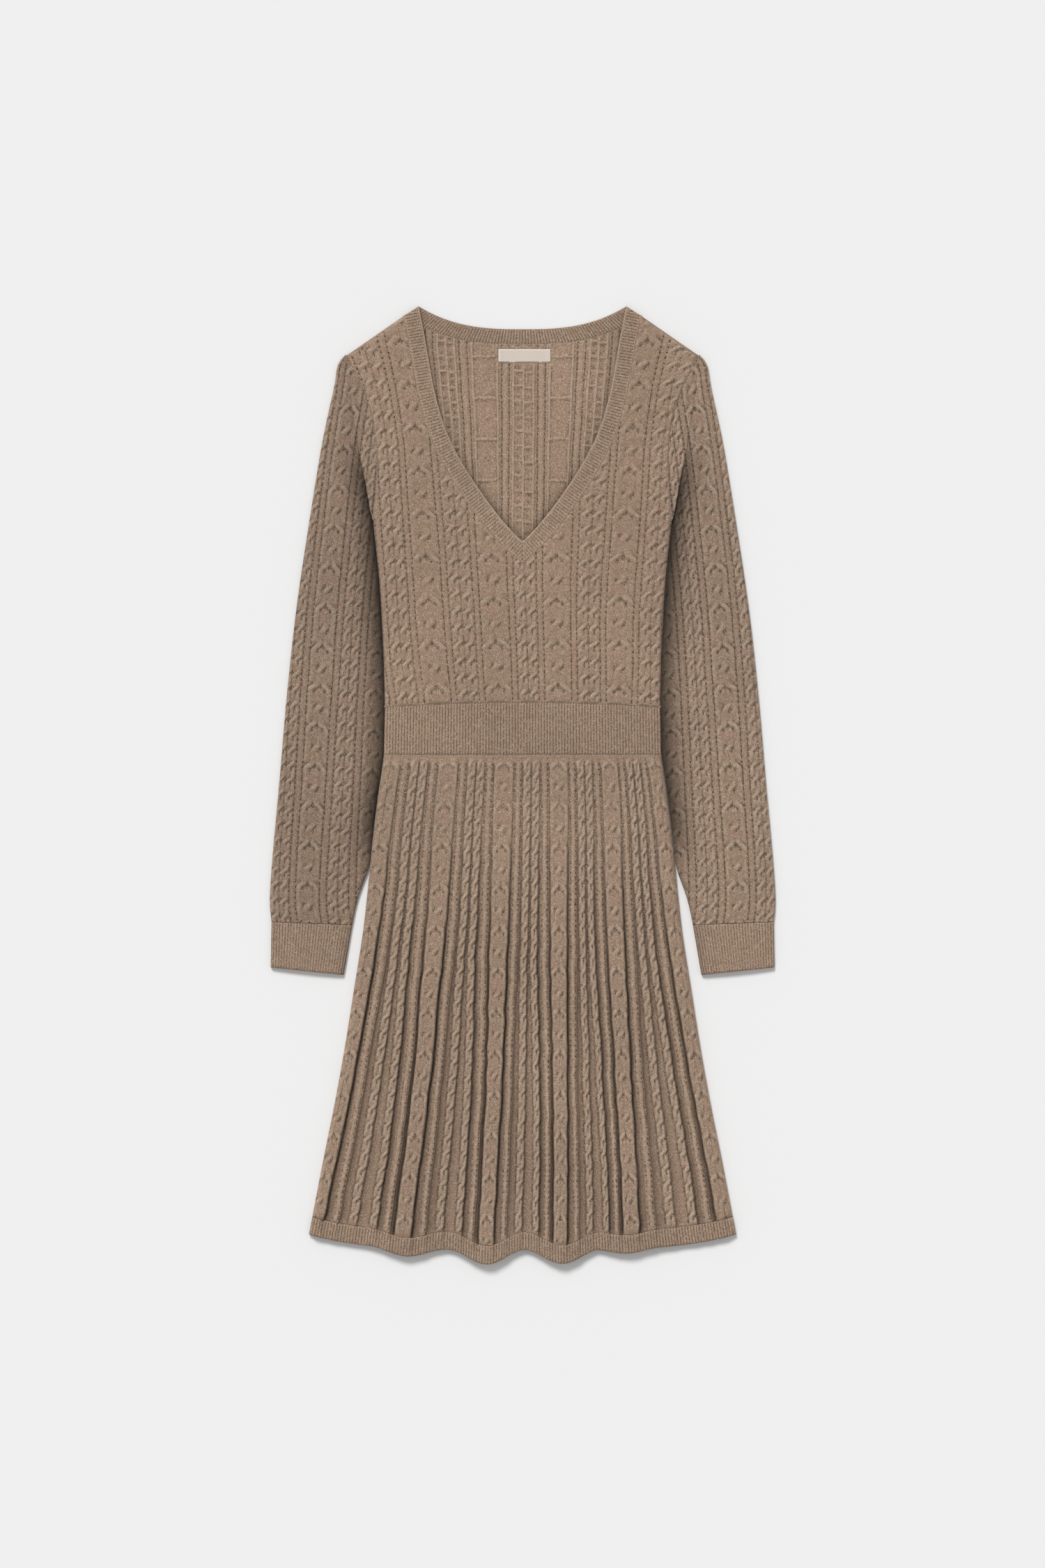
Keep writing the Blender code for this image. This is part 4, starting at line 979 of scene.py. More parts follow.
def ribbed_band(name, edges, rows, level, under_level, node, shade=None):
    """A band of 1x1 rib: dense across its ribs, over a plain inside.

    edges are two lines that run the same way; the ribs go from one to the other.
    """
    sizes = knit_sizes()
    run = (run_of(edges[0]) + run_of(edges[1])) / 2
    ribs = round(run / (sizes.rib_pitch / MM))
    shares = np.linspace(0.0, 1.0, ribs * 4 + 1)
    ways = np.linspace(0.0, 1.0, rows + 1)
    first, second = point_on(edges[0], shares), point_on(edges[1], shares)
    grid = mix(first[:, None, :], second[:, None, :], ways[None, :, None])
    x, y = grid[..., 0], grid[..., 1]
    width = math.dist(first[len(first) // 2], second[len(first) // 2])
    wave = rib_wave((shares * ribs)[:, None], x, y)
    ends = smooth(0.0, 0.06, ways) * smooth(1.0, 0.94, ways)
    body = 0.45 + 0.55 * ends[None, :]
    z = level(x, y) + sizes.rib_lift / MM * wave * body - 0.25 * (1 - ends[None, :])
    index = np.arange(x.size).reshape(x.shape)
    top_faces, ring = grid_faces(index), grid_rim(index)
    plan = grid.reshape(-1, 2)
    outline = plan[ring]
    if signed_area(outline) <= 0:
        top_faces, ring = top_faces[:, ::-1], ring[::-1]
        outline = plan[ring]
    middle = grid[2:-2:8, rows // 2]
    low = np.vstack((outline, middle))
    below = len(plan) + np.arange(len(ring))
    faces = np.vstack((
        top_faces, triangles(outline, middle)[:, ::-1] + len(plan), wall_faces(below, ring),
    ))
    points = np.vstack((
        np.column_stack((plan, z.ravel())),
        np.column_stack((low, under_level(low[:, 0], low[:, 1]))),
    ))
    u = np.broadcast_to((shares * run)[:, None], x.shape)
    v = np.broadcast_to((ways * width)[None, :], x.shape)
    dark = np.zeros_like(x) if shade is None else shade(x, y)
    knit = knit_data(u.ravel(), v.ravel(), 9.0, (rib_relief(wave) * body).ravel(), 0.0, dark.ravel())
    made = new_piece(name, points, faces, np.vstack((knit, plain_knit(low))), rib_material(), node, "rib")
    area = plan_area(outline)
    return made


def half_neck_edge(curve):
    """One side's line of the V band, drawn back from the mitre."""
    return np.column_stack((curve[:, 0] + JOIN * smooth(20.0, 0.0, curve[:, 0]), curve[:, 1]))


class DressNeckbands(bpy.types.Operator):
    """Makes the two halves of the V neckband, ribbed square to its edge, and the back neck's band"""

    bl_idname = "dress.neckbands"
    bl_label = "Neckbands"

    def execute(self, context):
        sizes = knit_sizes()
        pitch = sizes.rib_pitch / MM
        inner, outer = half_neck_edge(NECK_CURVE), half_neck_edge(neck_offset(BAND_WIDTH))
        mitre, end = np.array([inner[-1], outer[-1]]), np.array([outer[0], inner[0]])
        outline = joined(*[resampled(line, pitch / 4) for line in (inner, mitre, outer[::-1], end)])
        lead, trail = NECK_CURVE[0] - NECK_CURVE[1], NECK_CURVE[-1] - NECK_CURVE[-2]
        line = np.vstack((
            NECK_CURVE[:1] + lead / math.hypot(*lead) * 16.0, NECK_CURVE,
            NECK_CURVE[-1:] + trail / math.hypot(*trail) * 24.0,
        ))
        spine = resampled(line, pitch / 4)
        ahead = np.gradient(spine, axis=0)
        ahead /= np.hypot(*ahead.T)[:, None]
        aside = np.column_stack((-ahead[:, 1], ahead[:, 0]))
        ways = np.array([0.9, 1.9, 3.4, 5.4, 7.6, 9.8, 12.0, 14.0, 15.5])
        grid = (spine[:, None, :] + aside[:, None, :] * ways[None, :, None]).reshape(-1, 2)
        grid = kept_inside(outline, grid, 0.33)

        def parts(x, y):
            arc, off = along(line, np.column_stack((x, y)))
            wave = rib_wave(arc / pitch, x, y)
            body = smooth(1.3, 2.6, off) * (0.3 + 0.7 * smooth(BAND_WIDTH, BAND_WIDTH - 1.6, off))
            cord = 0.55 * (dent((off - 0.9) / 0.8) + 0.7 * dent((off - BAND_WIDTH + 0.9) / 0.7))
            return arc, off, wave, body, cord

        def level(x, y):
            _, off, wave, body, cord = parts(x, y)
            lift = sizes.rib_lift / MM * wave * body + cord - edge_roll(off, 0.9, 0.6)
            return front_outer(x, y) + 0.1 + lift

        def knit_of(points):
            arc, off, wave, body, cord = parts(*points.T)
            # the cords at the band's edges add to the relief, so they take its painted highlight
            return knit_data(arc, off, 9.0, rib_relief(wave) * body + 1.7 * cord)

        made = closed_panel(outline, grid, coarse_grid(outline, 6.0, 4.0), level, front_under, knit_of)
        area = plan_area(outline)
        for word, side in (("right", 1.0), ("left", -1.0)):
            piece = new_piece(
                "cloth_neckband_front_" + word, *side_turned(made, side), rib_material(),
                "neckband_front_" + word, "rib",
            )
        ribbed_band(
            "cloth_neckband_back", (back_neck(0.0), back_neck(BACK_BAND_WIDTH)), 8,
            lambda x, y: np.full_like(x, BACK_TOP - 0.45), on_floor, "neckband_back",
        )
        return {"FINISHED"}


class DressWaistbands(bpy.types.Operator):
    """Makes the ribbed band of the waist, front and back"""

    bl_idname = "dress.waistbands"
    bl_label = "Waistbands"

    def execute(self, context):
        seam = waist_seam()
        half = body_half_width(WAIST_LOW_Y)
        low = np.array([(-half, WAIST_LOW_Y), (half, WAIST_LOW_Y)])
        ribbed_band(
            "cloth_waistband_front", (low, seam), 18, lambda x, y: front_outer(x, y) - 0.35,
            front_under, "waistband_front",
        )
        ribbed_band(
            "cloth_waistband_back", (low, seam), 6, lambda x, y: np.full_like(x, BACK_TOP - 0.55),
            on_floor, "waistband_back",
        )
        return {"FINISHED"}


# ---------------------------------------------------------------- skirt
def strip_feet(y):
    """Kind, left foot, right foot and place in its set of every strip, at each height."""
    feet = []
    for index in range(len(SKIRT_BRAIDS) - 1):
        start, stop = braid_centre(index, y), braid_centre(index + 1, y)
        sizes = [
            [np.interp(-y, -np.array(STRIP_HEIGHTS), row) for row in (width, groove)]
            for _, width, groove in STRIPS
        ]
        scale = (stop - start) / sum(width + groove for width, groove in sizes)
        x = start
        for number, ((kind, _, _), (width, groove)) in enumerate(zip(STRIPS, sizes)):
            feet.append((kind, x, x + width * scale, number))
            x = x + (width + groove) * scale
    return feet


SKIRT_ROWS = np.linspace(-480.0, 40.0, 105)
FEET = strip_feet(SKIRT_ROWS)


def foot_at(y, *rows):
    """Where strips' feet stand at heights y."""
    return [np.interp(y, SKIRT_ROWS, row) for row in rows]


def round_shoulder(distance, reach):
    """0 at a strip's foot, rising round to 1 at the reach."""
    t = np.clip(distance / reach, 0.0, 1.0)
    return np.sqrt(np.clip(1.0 - (1.0 - t) ** 2, 0.0, 1.0))


def sway(x, y):
    """How far the pleats' edges waver to the side."""
    waver = 0.7 * grain(x / 4.0, y, 13.0, 9.0) + 0.5 * grain(x / 6.0, y, 41.0, 9.5)
    return smooth(0.05, 0.3, skirt_place(y)) * waver


def unswayed(x, y):
    return x - sway(x - sway(x, y), y)


def skirt_form(x, y):
    """Lift of the pleated strips, and of their cables alone, distance to the eyelets,
    share of reverse knit, and shade."""
    sizes = knit_sizes()
    x = unswayed(x, y)
    place = skirt_place(y)
    parted, drape = smooth(0.10, 0.24, place), smooth(0.10, 0.45, place)
    lean, begun = smooth(0.28, 0.70, place), smooth(27.0, 20.0, y)
    lift, detail, shade = np.zeros_like(x), np.zeros_like(x), np.zeros_like(x)
    eyelet, purl = np.full_like(x, 9.0), np.ones_like(x)
    rough_x, rough_y = wandered(x, y, 0.30, 0.70)
    for count, (kind, left_row, right_row, number) in enumerate(FEET):
        left, right = foot_at(y, left_row, right_row)
        width = right - left
        share = (rough_x - left) / width
        here = (x >= left) & (x < right)
        from_left, from_right = x - left, right - x
        if kind == "braid":
            # a braid is cut in two at its middle, where one set of strips ends and the next begins
            first = number == 0
            share = 0.5 + 0.5 * share if first else 0.5 * share
            if first:
                from_left = from_left + 99.0
                here |= (x < left) & (count == 0)
            else:
                from_right = from_right + 99.0
                here |= (x >= right) & (count == len(FEET) - 1)
            turn = (rough_y - BRAID_ROW["skirt"]) / BRAID_PERIOD["skirt"] + 0.25
            form = 0.82 * sizes.braid_lift / MM * braid_form(np.clip(2.0 * share - 1.0, -1.0, 1.0), turn)
        elif kind == "rope":
            turn = (rough_y + 1.2 * (number == 3) - ROPE_ROW["skirt"]) / ROPE_PERIOD["skirt"] + 0.5
            form = 1.15 * sizes.rope_lift / MM * rope_form(1.04 * (2.0 * share - 1.0), turn)
        else:
            line = np.minimum(np.abs(share - 0.21), np.abs(share - 0.78)) * width
            eyelet = np.where(here, line * 0.9, eyelet)
            opening = 0.5 + 0.5 * np.cos(y / 5.1 * 2 * math.pi)
            form = 0.45 * dent((share - 0.5) * width / 1.8)
            form = form - (0.1 + 0.55 * opening) * (0.6 + 0.4 * parted) * dent(line / 0.75)
        # lower down the strips part, stand up from the furrows and rise towards their right edge
        uneven = 1.0 + 0.16 * grain(y * 0.0 + count, y, 90.0, 8.0)
        rise = mix(1.0, 0.45 + 0.80 * share, lean) * uneven
        sharp = kind == "braid" or number == 4
        shoulder = round_shoulder(from_left, 2.4) * round_shoulder(from_right, 0.9 if sharp else 2.0)
        shoulder = mix(1.0, shoulder, parted)
        stand = STRIP_LIFT[kind] * (0.2 + 0.8 * drape) * rise
        form = np.maximum(form, 0.45 * (1.0 - parted)) if kind != "lace" else form
        form = (form + 0.22 * grain(x, y, 2.6, 3.0) + 0.25 * grain(x, y, 6.0, 4.0)) * begun
        detail = np.where(here, form * (0.4 + 0.6 * shoulder), detail)
        lift = np.where(here, stand * shoulder, lift)
        purl = np.where(here, 0.0, purl)
        if number < len(GROOVES):
            # the furrow after the strip: a slit beside it with painted shade, then reverse knit whose
            # painted shade fades away
            deep, dark, deep_after, dark_after = GROOVES[number]
            stop = foot_at(y, FEET[count + 1][1])[0]
            room = np.maximum(stop - right, 1e-6)
            across = np.clip((x - right) / room, 0.0, 1.0)
            between = (x >= right) & (x < stop)
            lift = np.where(between, -mix(deep, deep_after, across) * drape, lift)
            middle = right + np.minimum(room / 2, 1.0)
            slit = np.minimum(1.0, 1.6 * dent((x - middle) / (1.1 + 0.25 * np.minimum(room, 2.0)))) * parted
            lift = lift - 0.15 * deep * slit * smooth(6.0, 1.0, room)
            groove_shade = mix(dark, dark_after, smooth(0.0, 0.8, across)) * (0.12 + 0.98 * drape)
            shade = np.where(between, groove_shade, shade)
            shade = np.maximum(shade, dark * slit * (0.6 + 0.4 * drape))
    return lift + detail, detail, eyelet, purl, shade


def skirt_lift(x, y):
    return skirt_form(x, y)[0]


def skirt_detail(x, y):
    return skirt_form(x, y)[1]


def hem_fade(x, y):
    """How much of the pleats is left in the hem rib: all at its seam, a third at its edge."""
    return 0.35 + 0.65 * smooth(0.0, HEM_HEIGHT, y - hem_edge(x))


class DressHem(bpy.types.Operator):
    """Makes the ribbed band of the hem, front and back, with the pleats running out in it"""

    bl_idname = "dress.hem"
    bl_label = "Hem ribs"

    def execute(self, context):
        seam = hem_seam_line()
        x = np.linspace(-HEM_HALF[1], HEM_HALF[1], 161)
        edge = np.column_stack((x, hem_edge(x)))

        def pleated(x, y):
            lift = soft_pleats(x.ravel(), np.full(x.size, HEM_LEVEL)).reshape(x.shape)
            return front_outer(x, y) + 0.1 + 0.8 * lift * hem_fade(x, y)

        def shade(x, y):
            # painted shade of the pleats' furrows, carried faintly into the rib
            dark = skirt_form(x.ravel(), np.full(x.size, HEM_LEVEL))[4].reshape(x.shape)
            return 0.1 * dark * hem_fade(x, y)

        ribbed_band(
            "cloth_hem_rib_front", (edge, seam), 10, pleated, front_under, "hem_rib_front",
            shade,
        )
        ribbed_band(
            "cloth_hem_rib_back", (edge, seam), 4, lambda x, y: back_outer(x, y) - 0.55, on_floor,
            "hem_rib_back",
        )
        return {"FINISHED"}


def soft_pleats(x, y):
    """The pleats without their cables, which end at the hem's seam."""
    lift, x = np.zeros_like(x), unswayed(x, y)
    for kind, left_row, right_row, number in FEET:
        left, right = foot_at(y, left_row, right_row)
        here = (x >= left) & (x < right)
        share = (x - left) / (right - left)
        from_left = x - left + (99.0 if kind == "braid" and number == 0 else 0.0)
        from_right = right - x + (99.0 if kind == "braid" and number else 0.0)
        if kind == "braid":
            share = 0.5 + 0.5 * share if number == 0 else 0.5 * share
        shoulder = round_shoulder(from_left, 2.0) * round_shoulder(from_right, 1.0)
        lift = np.where(here, (STRIP_LIFT[kind] + 0.4) * (0.45 + 0.80 * share) * shoulder, lift)
    return lift


def on_same_pleat(x, start, y):
    """Places at heights y on the same part of a pleat as x is at height start."""
    edges = [row for foot in FEET for row in foot[1:3]]
    first, last = foot_at(start, edges[0], edges[-1])
    new_first, new_last = foot_at(y, edges[0], edges[-1])
    moved = np.where(x < first, new_first + x - first, x)
    moved = np.where(x >= last, new_last + x - last, moved)
    for rows in zip(edges, edges[1:]):
        low, high = foot_at(start, *rows)
        here = (x >= low) & (x < high)
        a, b = foot_at(y[here], *rows)
        moved[here] = mix(a, b, (x[here] - low) / (high - low))
    return moved


class DressSkirt(bpy.types.Operator):
    """Makes the front and back of the skirt, with its pleated strips of rope, lace and braid"""

    bl_idname = "dress.skirt"
    bl_label = "Skirt"

    def execute(self, context):
        hem = hem_seam_line() + (0.0, JOIN)
        top = WAIST_LOW_Y - JOIN
        side = side_between(hem[-1][1], top)
        waist = np.array([side[-1], side[-1] * (-1.0, 1.0)])
        lines = (hem, side, waist, mirrored(side))
        outline = joined(*[resampled(line, 1.25) for line in lines])
        points, y_top = [], top - 0.7
        for share in np.arange(0.0, 1.0, 1.5 / 470.0):
            y_mid = mix(y_top, -440.0, share)
            edges = [foot_at(y_mid, *foot[1:3]) for foot in FEET]
            stops = [edges[0][0] - 9.0]
            for left, right in edges:
                if left - stops[-1] > 0.3:
                    stops.append(left - 0.04)
                stops += [right - 0.6, right + 0.04]
            stops.append(stops[-1] + 9.0)
            x = stations(np.array(stops), 1.25)
            target = np.interp(x, hem[:, 0], hem[:, 1]) + 0.7
            y = mix(y_top, target, share)
            x = on_same_pleat(x, y_mid, y)
            points.append(np.column_stack((x + sway(x, y), y)))
        inner = kept_inside(outline, np.vstack(points), 0.6)

        def ends(x, y):
            return smooth(0.0, 4.0, y - np.interp(x, hem[:, 0], hem[:, 1]))

        def level(x, y):
            near = distance_to(side[::2], np.column_stack((np.abs(x), y)), closed=False)
            close = ends(x, y)
            lift = mix(0.8 * soft_pleats(x, y), skirt_lift(x, y), close) * smooth(0.0, 3.5, near)
            lift = lift * (0.4 + 0.6 * smooth(0.0, 3.0, top - y))
            return front_outer(x, y) + lift + creased("skirt", x, y) - edge_roll(near) - 0.1

        def knit_of(points):
            x, y = points.T
            _, _, eyelet, purl, shade = skirt_form(x, y)
            relief = 1.25 * standing(skirt_detail, x, y) * ends(x, y)
            u = x.copy()
            for _, left_row, right_row, _ in FEET:
                left, right = foot_at(y, left_row, right_row)
                start = foot_at(KNIT_HEIGHT, left_row)[0]
                u = np.where((x >= left) & (x < right), start + (x - left), u)
            return knit_data(u, y, eyelet, relief, purl, shade)

        under = coarse_grid(outline, 12.0, 6.0)
        made = closed_panel(outline, inner, under, level, front_under, knit_of)
        front = new_piece("cloth_skirt_front", *made, knit_material(), "skirt_front", "knit")
        area = plan_area(outline) / SQUARE_METRE

        outline = joined(*[resampled(line, 3.0) for line in lines])
        grid = coarse_grid(outline, 9.0, 4.0)
        made = closed_panel(
            outline, grid, grid, back_outer, on_floor,
            lambda points: plain_knit(points, 1.0), 0.0,
        )
        back = new_piece("cloth_skirt_back", *made, knit_material(), "skirt_back", "knit")
        return {"FINISHED"}


# ---------------------------------------------------------------- sleeves and cuffs
def moved_in(outline, index, distance):
    ahead = outline[(index + 1) % len(outline)] - outline[index - 1]
    ahead = ahead / math.hypot(*ahead)
    return outline[index] + np.array((-ahead[1], ahead[0])) * distance


def open_tube(edges, inner, level, roof_level, knit_of, hollow_step):
    """A flattened tube, open at both mouths.

    edges are the outer edge upwards, the upper mouth, the inner edge downwards and the lower
    mouth; the mouths leave out their corners. The outer side is dense, the hollow plain.
    """
    outer, high, inside_edge, low = edges
    outline = np.vstack(edges)
    n = len(outline)
    starts = np.cumsum([0, len(outer), len(high), len(inside_edge), len(low)])
    high_mouth = np.arange(starts[1] - 1, starts[2] + 1)
    low_mouth = np.append(np.arange(starts[3] - 1, n), 0)
    coarse = coarse_grid(outline, hollow_step, 6.0)
    top = np.vstack((outline, inner))
    base = np.vstack((outline, coarse))

    def mouth(indices):
        line = outline[indices].copy()
        line[0] = moved_in(outline, indices[0], WALL)
        line[-1] = moved_in(outline, indices[-1] % n, WALL)
        return line

    def fold(line):
        line = line[6:-6:6]
        ahead = np.gradient(line, axis=0)
        ahead /= np.hypot(*ahead.T)[:, None]
        return line + np.column_stack((-ahead[:, 1], ahead[:, 0])) * WALL

    mouths = [mouth(high_mouth), mouth(low_mouth)]
    folds = [fold(outer), fold(inside_edge)]
    hollow = np.vstack((folds[0], mouths[0], folds[1], mouths[1]))
    room = kept_inside(hollow, coarse_grid(outline, hollow_step, 7.0), 4.0)
    cover = np.vstack((hollow, room))
    top_start, base_start = 0, len(top)
    roof_start = base_start + len(base)
    floor_start = roof_start + len(cover)
    faces = [
        triangles(outline, inner),
        triangles(outline, coarse)[:, ::-1] + base_start,
        triangles(hollow, room)[:, ::-1] + roof_start,
        triangles(hollow, room) + floor_start,
    ]
    m = len(hollow)
    cuts = np.cumsum([0, len(folds[0]), len(mouths[0]), len(folds[1]), len(mouths[1])])

    def band(low_a, low_b, top_a, top_b):
        faces.append(np.column_stack((low_a, low_b, top_b)))
        faces.append(np.column_stack((low_a, top_b, top_a)))

    for a, b in ((0, starts[1] - 1), (starts[2], starts[3] - 1)):
        i = np.arange(a, b)
        band(base_start + i, base_start + i + 1, i, i + 1)
    for a, b in ((cuts[2] - 1, cuts[3]), (cuts[4] - 1, m + cuts[1])):
        i = np.arange(a, b)
        j = (i + 1) % m
        i = i % m
        band(roof_start + i, roof_start + j, floor_start + i, floor_start + j)
    for indices, first in ((high_mouth, cuts[1]), (low_mouth, cuts[3])):
        k = np.arange(len(indices) - 1)
        i, j = indices[k] % n, indices[k + 1] % n
        p, q = first + k, first + k + 1
        band(roof_start + p, roof_start + q, top_start + i, top_start + j)
        band(base_start + i, base_start + j, floor_start + p, floor_start + q)
        corners = ((indices[0] % n, first, 1), (indices[-1] % n, first + len(indices) - 1, -1))
        for outer_i, hollow_i, turn in corners:
            quad = (base_start + outer_i, floor_start + hollow_i, roof_start + hollow_i, outer_i)
            quad = quad[::turn]
            faces.append(np.array([[quad[0], quad[1], quad[2]], [quad[0], quad[2], quad[3]]]))
    points = np.vstack((
        np.column_stack((top, level(top[:, 0], top[:, 1]))),
        np.column_stack((base, np.zeros(len(base)))),
        np.column_stack((cover, roof_level(cover[:, 0], cover[:, 1]))),
        np.column_stack((cover, np.full(len(cover), BACK_TOP))),
    ))
    knit = np.vstack((knit_of(top), plain_knit(base), plain_knit(cover, 1.0), plain_knit(cover, 1.0)))
    return points, np.vstack(faces), knit


def side_turned(made, side):
    """The piece on its own side of the body."""
    points, faces, knit = made
    if side < 0:
        points = points * (-1.0, 1.0, 1.0)
        faces = faces[:, ::-1]
        knit = knit * (-1.0, 1.0, 1.0, 1.0, 1.0, 1.0)
    return points, faces, knit


def sleeve_gap_lines(y):
    edge = at_height(OUTER_CURVE, y)
    return np.array([edge - np.interp(y, SLEEVE_HEIGHTS, row) for row in SLEEVE_GAPS])


def sleeve_reference():
    return np.array([-row[1] for row in SLEEVE_GAPS])


def sleeve_place(x, y):
    row = y + SLEEVE_ROW_TILT * (at_height(OUTER_CURVE, y) - 40.0 - x)
    return unwrapped(x, sleeve_gap_lines(y), sleeve_reference()), row


class DressSleeves(bpy.types.Operator):
    """Makes the two sleeves, open tubes with their cap over the armhole"""

    bl_idname = "dress.sleeves"
    bl_label = "Sleeves"

    def execute(self, context):
        step = knit_sizes().mesh_step / MM
        kinds = lane_kinds(len(SLEEVE_GAPS) - 1)
        reference = sleeve_reference()
        body_side = side_between(SLEEVE_INNER[0][1] + 10.0, ARMPIT_Y - 1.0)[:-1]
        armhole = ARMHOLE_CURVE + (JOIN, 0.0)
        beside_body = (body_side + (2 * SEAM, 0.0))[::-1]
        inner_edge = np.vstack((armhole[:1], beside_body, curve_through(SLEEVE_INNER, 4.0)))
        outer = resampled(OUTER_CURVE, step)
        high = resampled(armhole[::-1], step)[1:-1]
        inner_edge = resampled(inner_edge, step)
        low = resampled(np.array([inner_edge[-1], outer[0]]), step)[1:-1]
        outline = np.vstack((outer, high, inner_edge, low))
        columns = cable_columns(reference, step, SLEEVE_EYELET_REACH)
        rows = np.arange(-150.0, 440.0, step * 1.2)
        x = wrapped(columns, sleeve_gap_lines(rows), reference)
        y = rows[:, None] - SLEEVE_ROW_TILT * (at_height(OUTER_CURVE, rows)[:, None] - 40.0 - x)
        grid = np.column_stack((x.ravel(), y.ravel()))
        fold_y = np.arange(262.0, 404.0, step)
        fold = np.column_stack((side_limit(fold_y), fold_y))
        grid = grid[distance_to(fold[::3], grid, closed=False) > 1.0]
        grid = np.vstack((grid, fold - (0.5, 0.0), fold + (0.5, 0.0)))
        inner = kept_inside(outline, grid, 0.55 * step)
        free = (outer[::3], inner_edge[inner_edge[:, 1] < ARMPIT_Y][::3])
        # painted shade: heights between which the sleeve is darkened beside the body
        body_shade_heights = (-110.0, -30.0, 290.0, 356.0)      # heights between which the body shades the sleeve

        for word, side in (("right", 1.0), ("left", -1.0)):
            def lift_of(x, y):
                u, v = sleeve_place(x, y)
                lift, _ = cable_lanes(u, v, reference, kinds, "sleeve", SLEEVE_EYELET_REACH, side)
                return lift

            def level(x, y):
                points = np.column_stack((x, y))
                near = nearest(free, points)
                ends = smooth(-136.0, -124.0, y)
                crease = np.where(y > 262.0, np.clip(x - side_limit(y), 0.0, 99.0), 99.0)
                dip = 0.9 * np.exp(-crease / 5.0)
                sewn = 0.4 + 0.6 * smooth(0.0, 2.6, distance_to(armhole[::2], points, closed=False))
                lift = 0.9 * lift_of(x, y) * smooth(0.0, 3.0, near) * (0.3 + 0.7 * ends) * sewn
                return sleeve_outer(x, y) + lift + creased("sleeve", x, y) - edge_roll(near, 3.4, 1.4) - dip

            def knit_of(points):
                x, y = points.T
                u, v = sleeve_place(x, y)
                _, eyelet = cable_lanes(u, v, reference, kinds, "sleeve", SLEEVE_EYELET_REACH, side)
                # painted shade beside the body and along the cap's fold
                off = np.clip(np.where(x > side_limit(y) - 0.3, x - sleeve_limit(y), 99.0), 0.0, 99.0)
                a, b, c, d = body_shade_heights
                shade = 0.85 * dent(off / 17.0) * smooth(a, b, y) * smooth(d, c, y)
                shade = shade + 0.35 * np.exp(-off / 3.0) * smooth(d + 40.0, d, y)
                # a little painted shade over the sleeve, most of all on the left one
                shade = shade + (0.06 if side > 0 else 0.17) * (1.0 - shade)
                return knit_data(u, v, eyelet, 1.25 * standing(lift_of, x, y), 0.0, shade)

            made = open_tube((outer, high, inner_edge, low), inner, level, sleeve_roof, knit_of, 11.0)
            piece = new_piece(
                "cloth_sleeve_" + word, *side_turned(made, side), knit_material(), "sleeve_" + word, "knit"
            )
            area = 2 * plan_area(outline) / SQUARE_METRE
        return {"FINISHED"}


class DressCuffs(bpy.types.Operator):
    """Makes the two ribbed cuffs, open tubes"""

    bl_idname = "dress.cuffs"
    bl_label = "Cuffs"

    def execute(self, context):
        sizes = knit_sizes()
        ribs = round(CUFF_ROUND / (sizes.rib_pitch / MM))
        count = ribs * 4
        top_edge = np.array([CUFF_INNER[0], CUFF_OUTER[0]])
        upper = np.array([CUFF_INNER[1], CUFF_OUTER[1]])
        outer = resampled(np.array(CUFF_OUTER), 2.5)
        inner_edge = resampled(np.array(CUFF_INNER)[::-1], 2.5)
        shares = np.linspace(0.0, 1.0, count + 1)
        high = point_on(upper[::-1], shares)[1:-1]
        low = point_on(top_edge, shares)[1:-1]
        outline = np.vstack((outer, high, inner_edge, low))
        ways = np.linspace(0.0, 1.0, 20)[1:-1]
        a, b = point_on(top_edge, shares)[1:-1], point_on(upper, shares)[1:-1]
        ways = ways[:, None, None]
        inner = (a[None, :, :] * (1 - ways) + b[None, :, :] * ways).reshape(-1, 2)

        def across_of(x, y):
            start = at_height(CUFF_INNER, y)
            return (x - start) / (at_height(CUFF_OUTER, y) - start)

        def wave(x, y):
            return rib_wave(across_of(x, y) * ribs, x, y)

        def level(x, y):
            across = across_of(x, y)
            near = np.minimum(across, 1.0 - across) * CUFF_EDGE
            return cuff_roof(x, y) + WALL + sizes.rib_lift / MM * wave(x, y) - edge_roll(near, 3.4, 1.4)

        def knit_of(points):
            x, y = points.T
            across = across_of(x, y)
            # painted shade along the cuff's inner edge
            shade = 0.4 * np.exp(-np.clip(across, 0.0, 1.0) / 0.06)
            return knit_data(across * CUFF_COLUMNS, y, 9.0, rib_relief(wave(x, y)), 0.0, shade)

        for word, side in (("right", 1.0), ("left", -1.0)):
            made = open_tube((outer, high, inner_edge, low), inner, level, cuff_roof, knit_of, 9.0)
            piece = new_piece(
                "cloth_cuff_" + word, *side_turned(made, side), rib_material(), "cuff_" + word, "rib"
            )
            area = 2 * plan_area(outline) / SQUARE_METRE
        return {"FINISHED"}


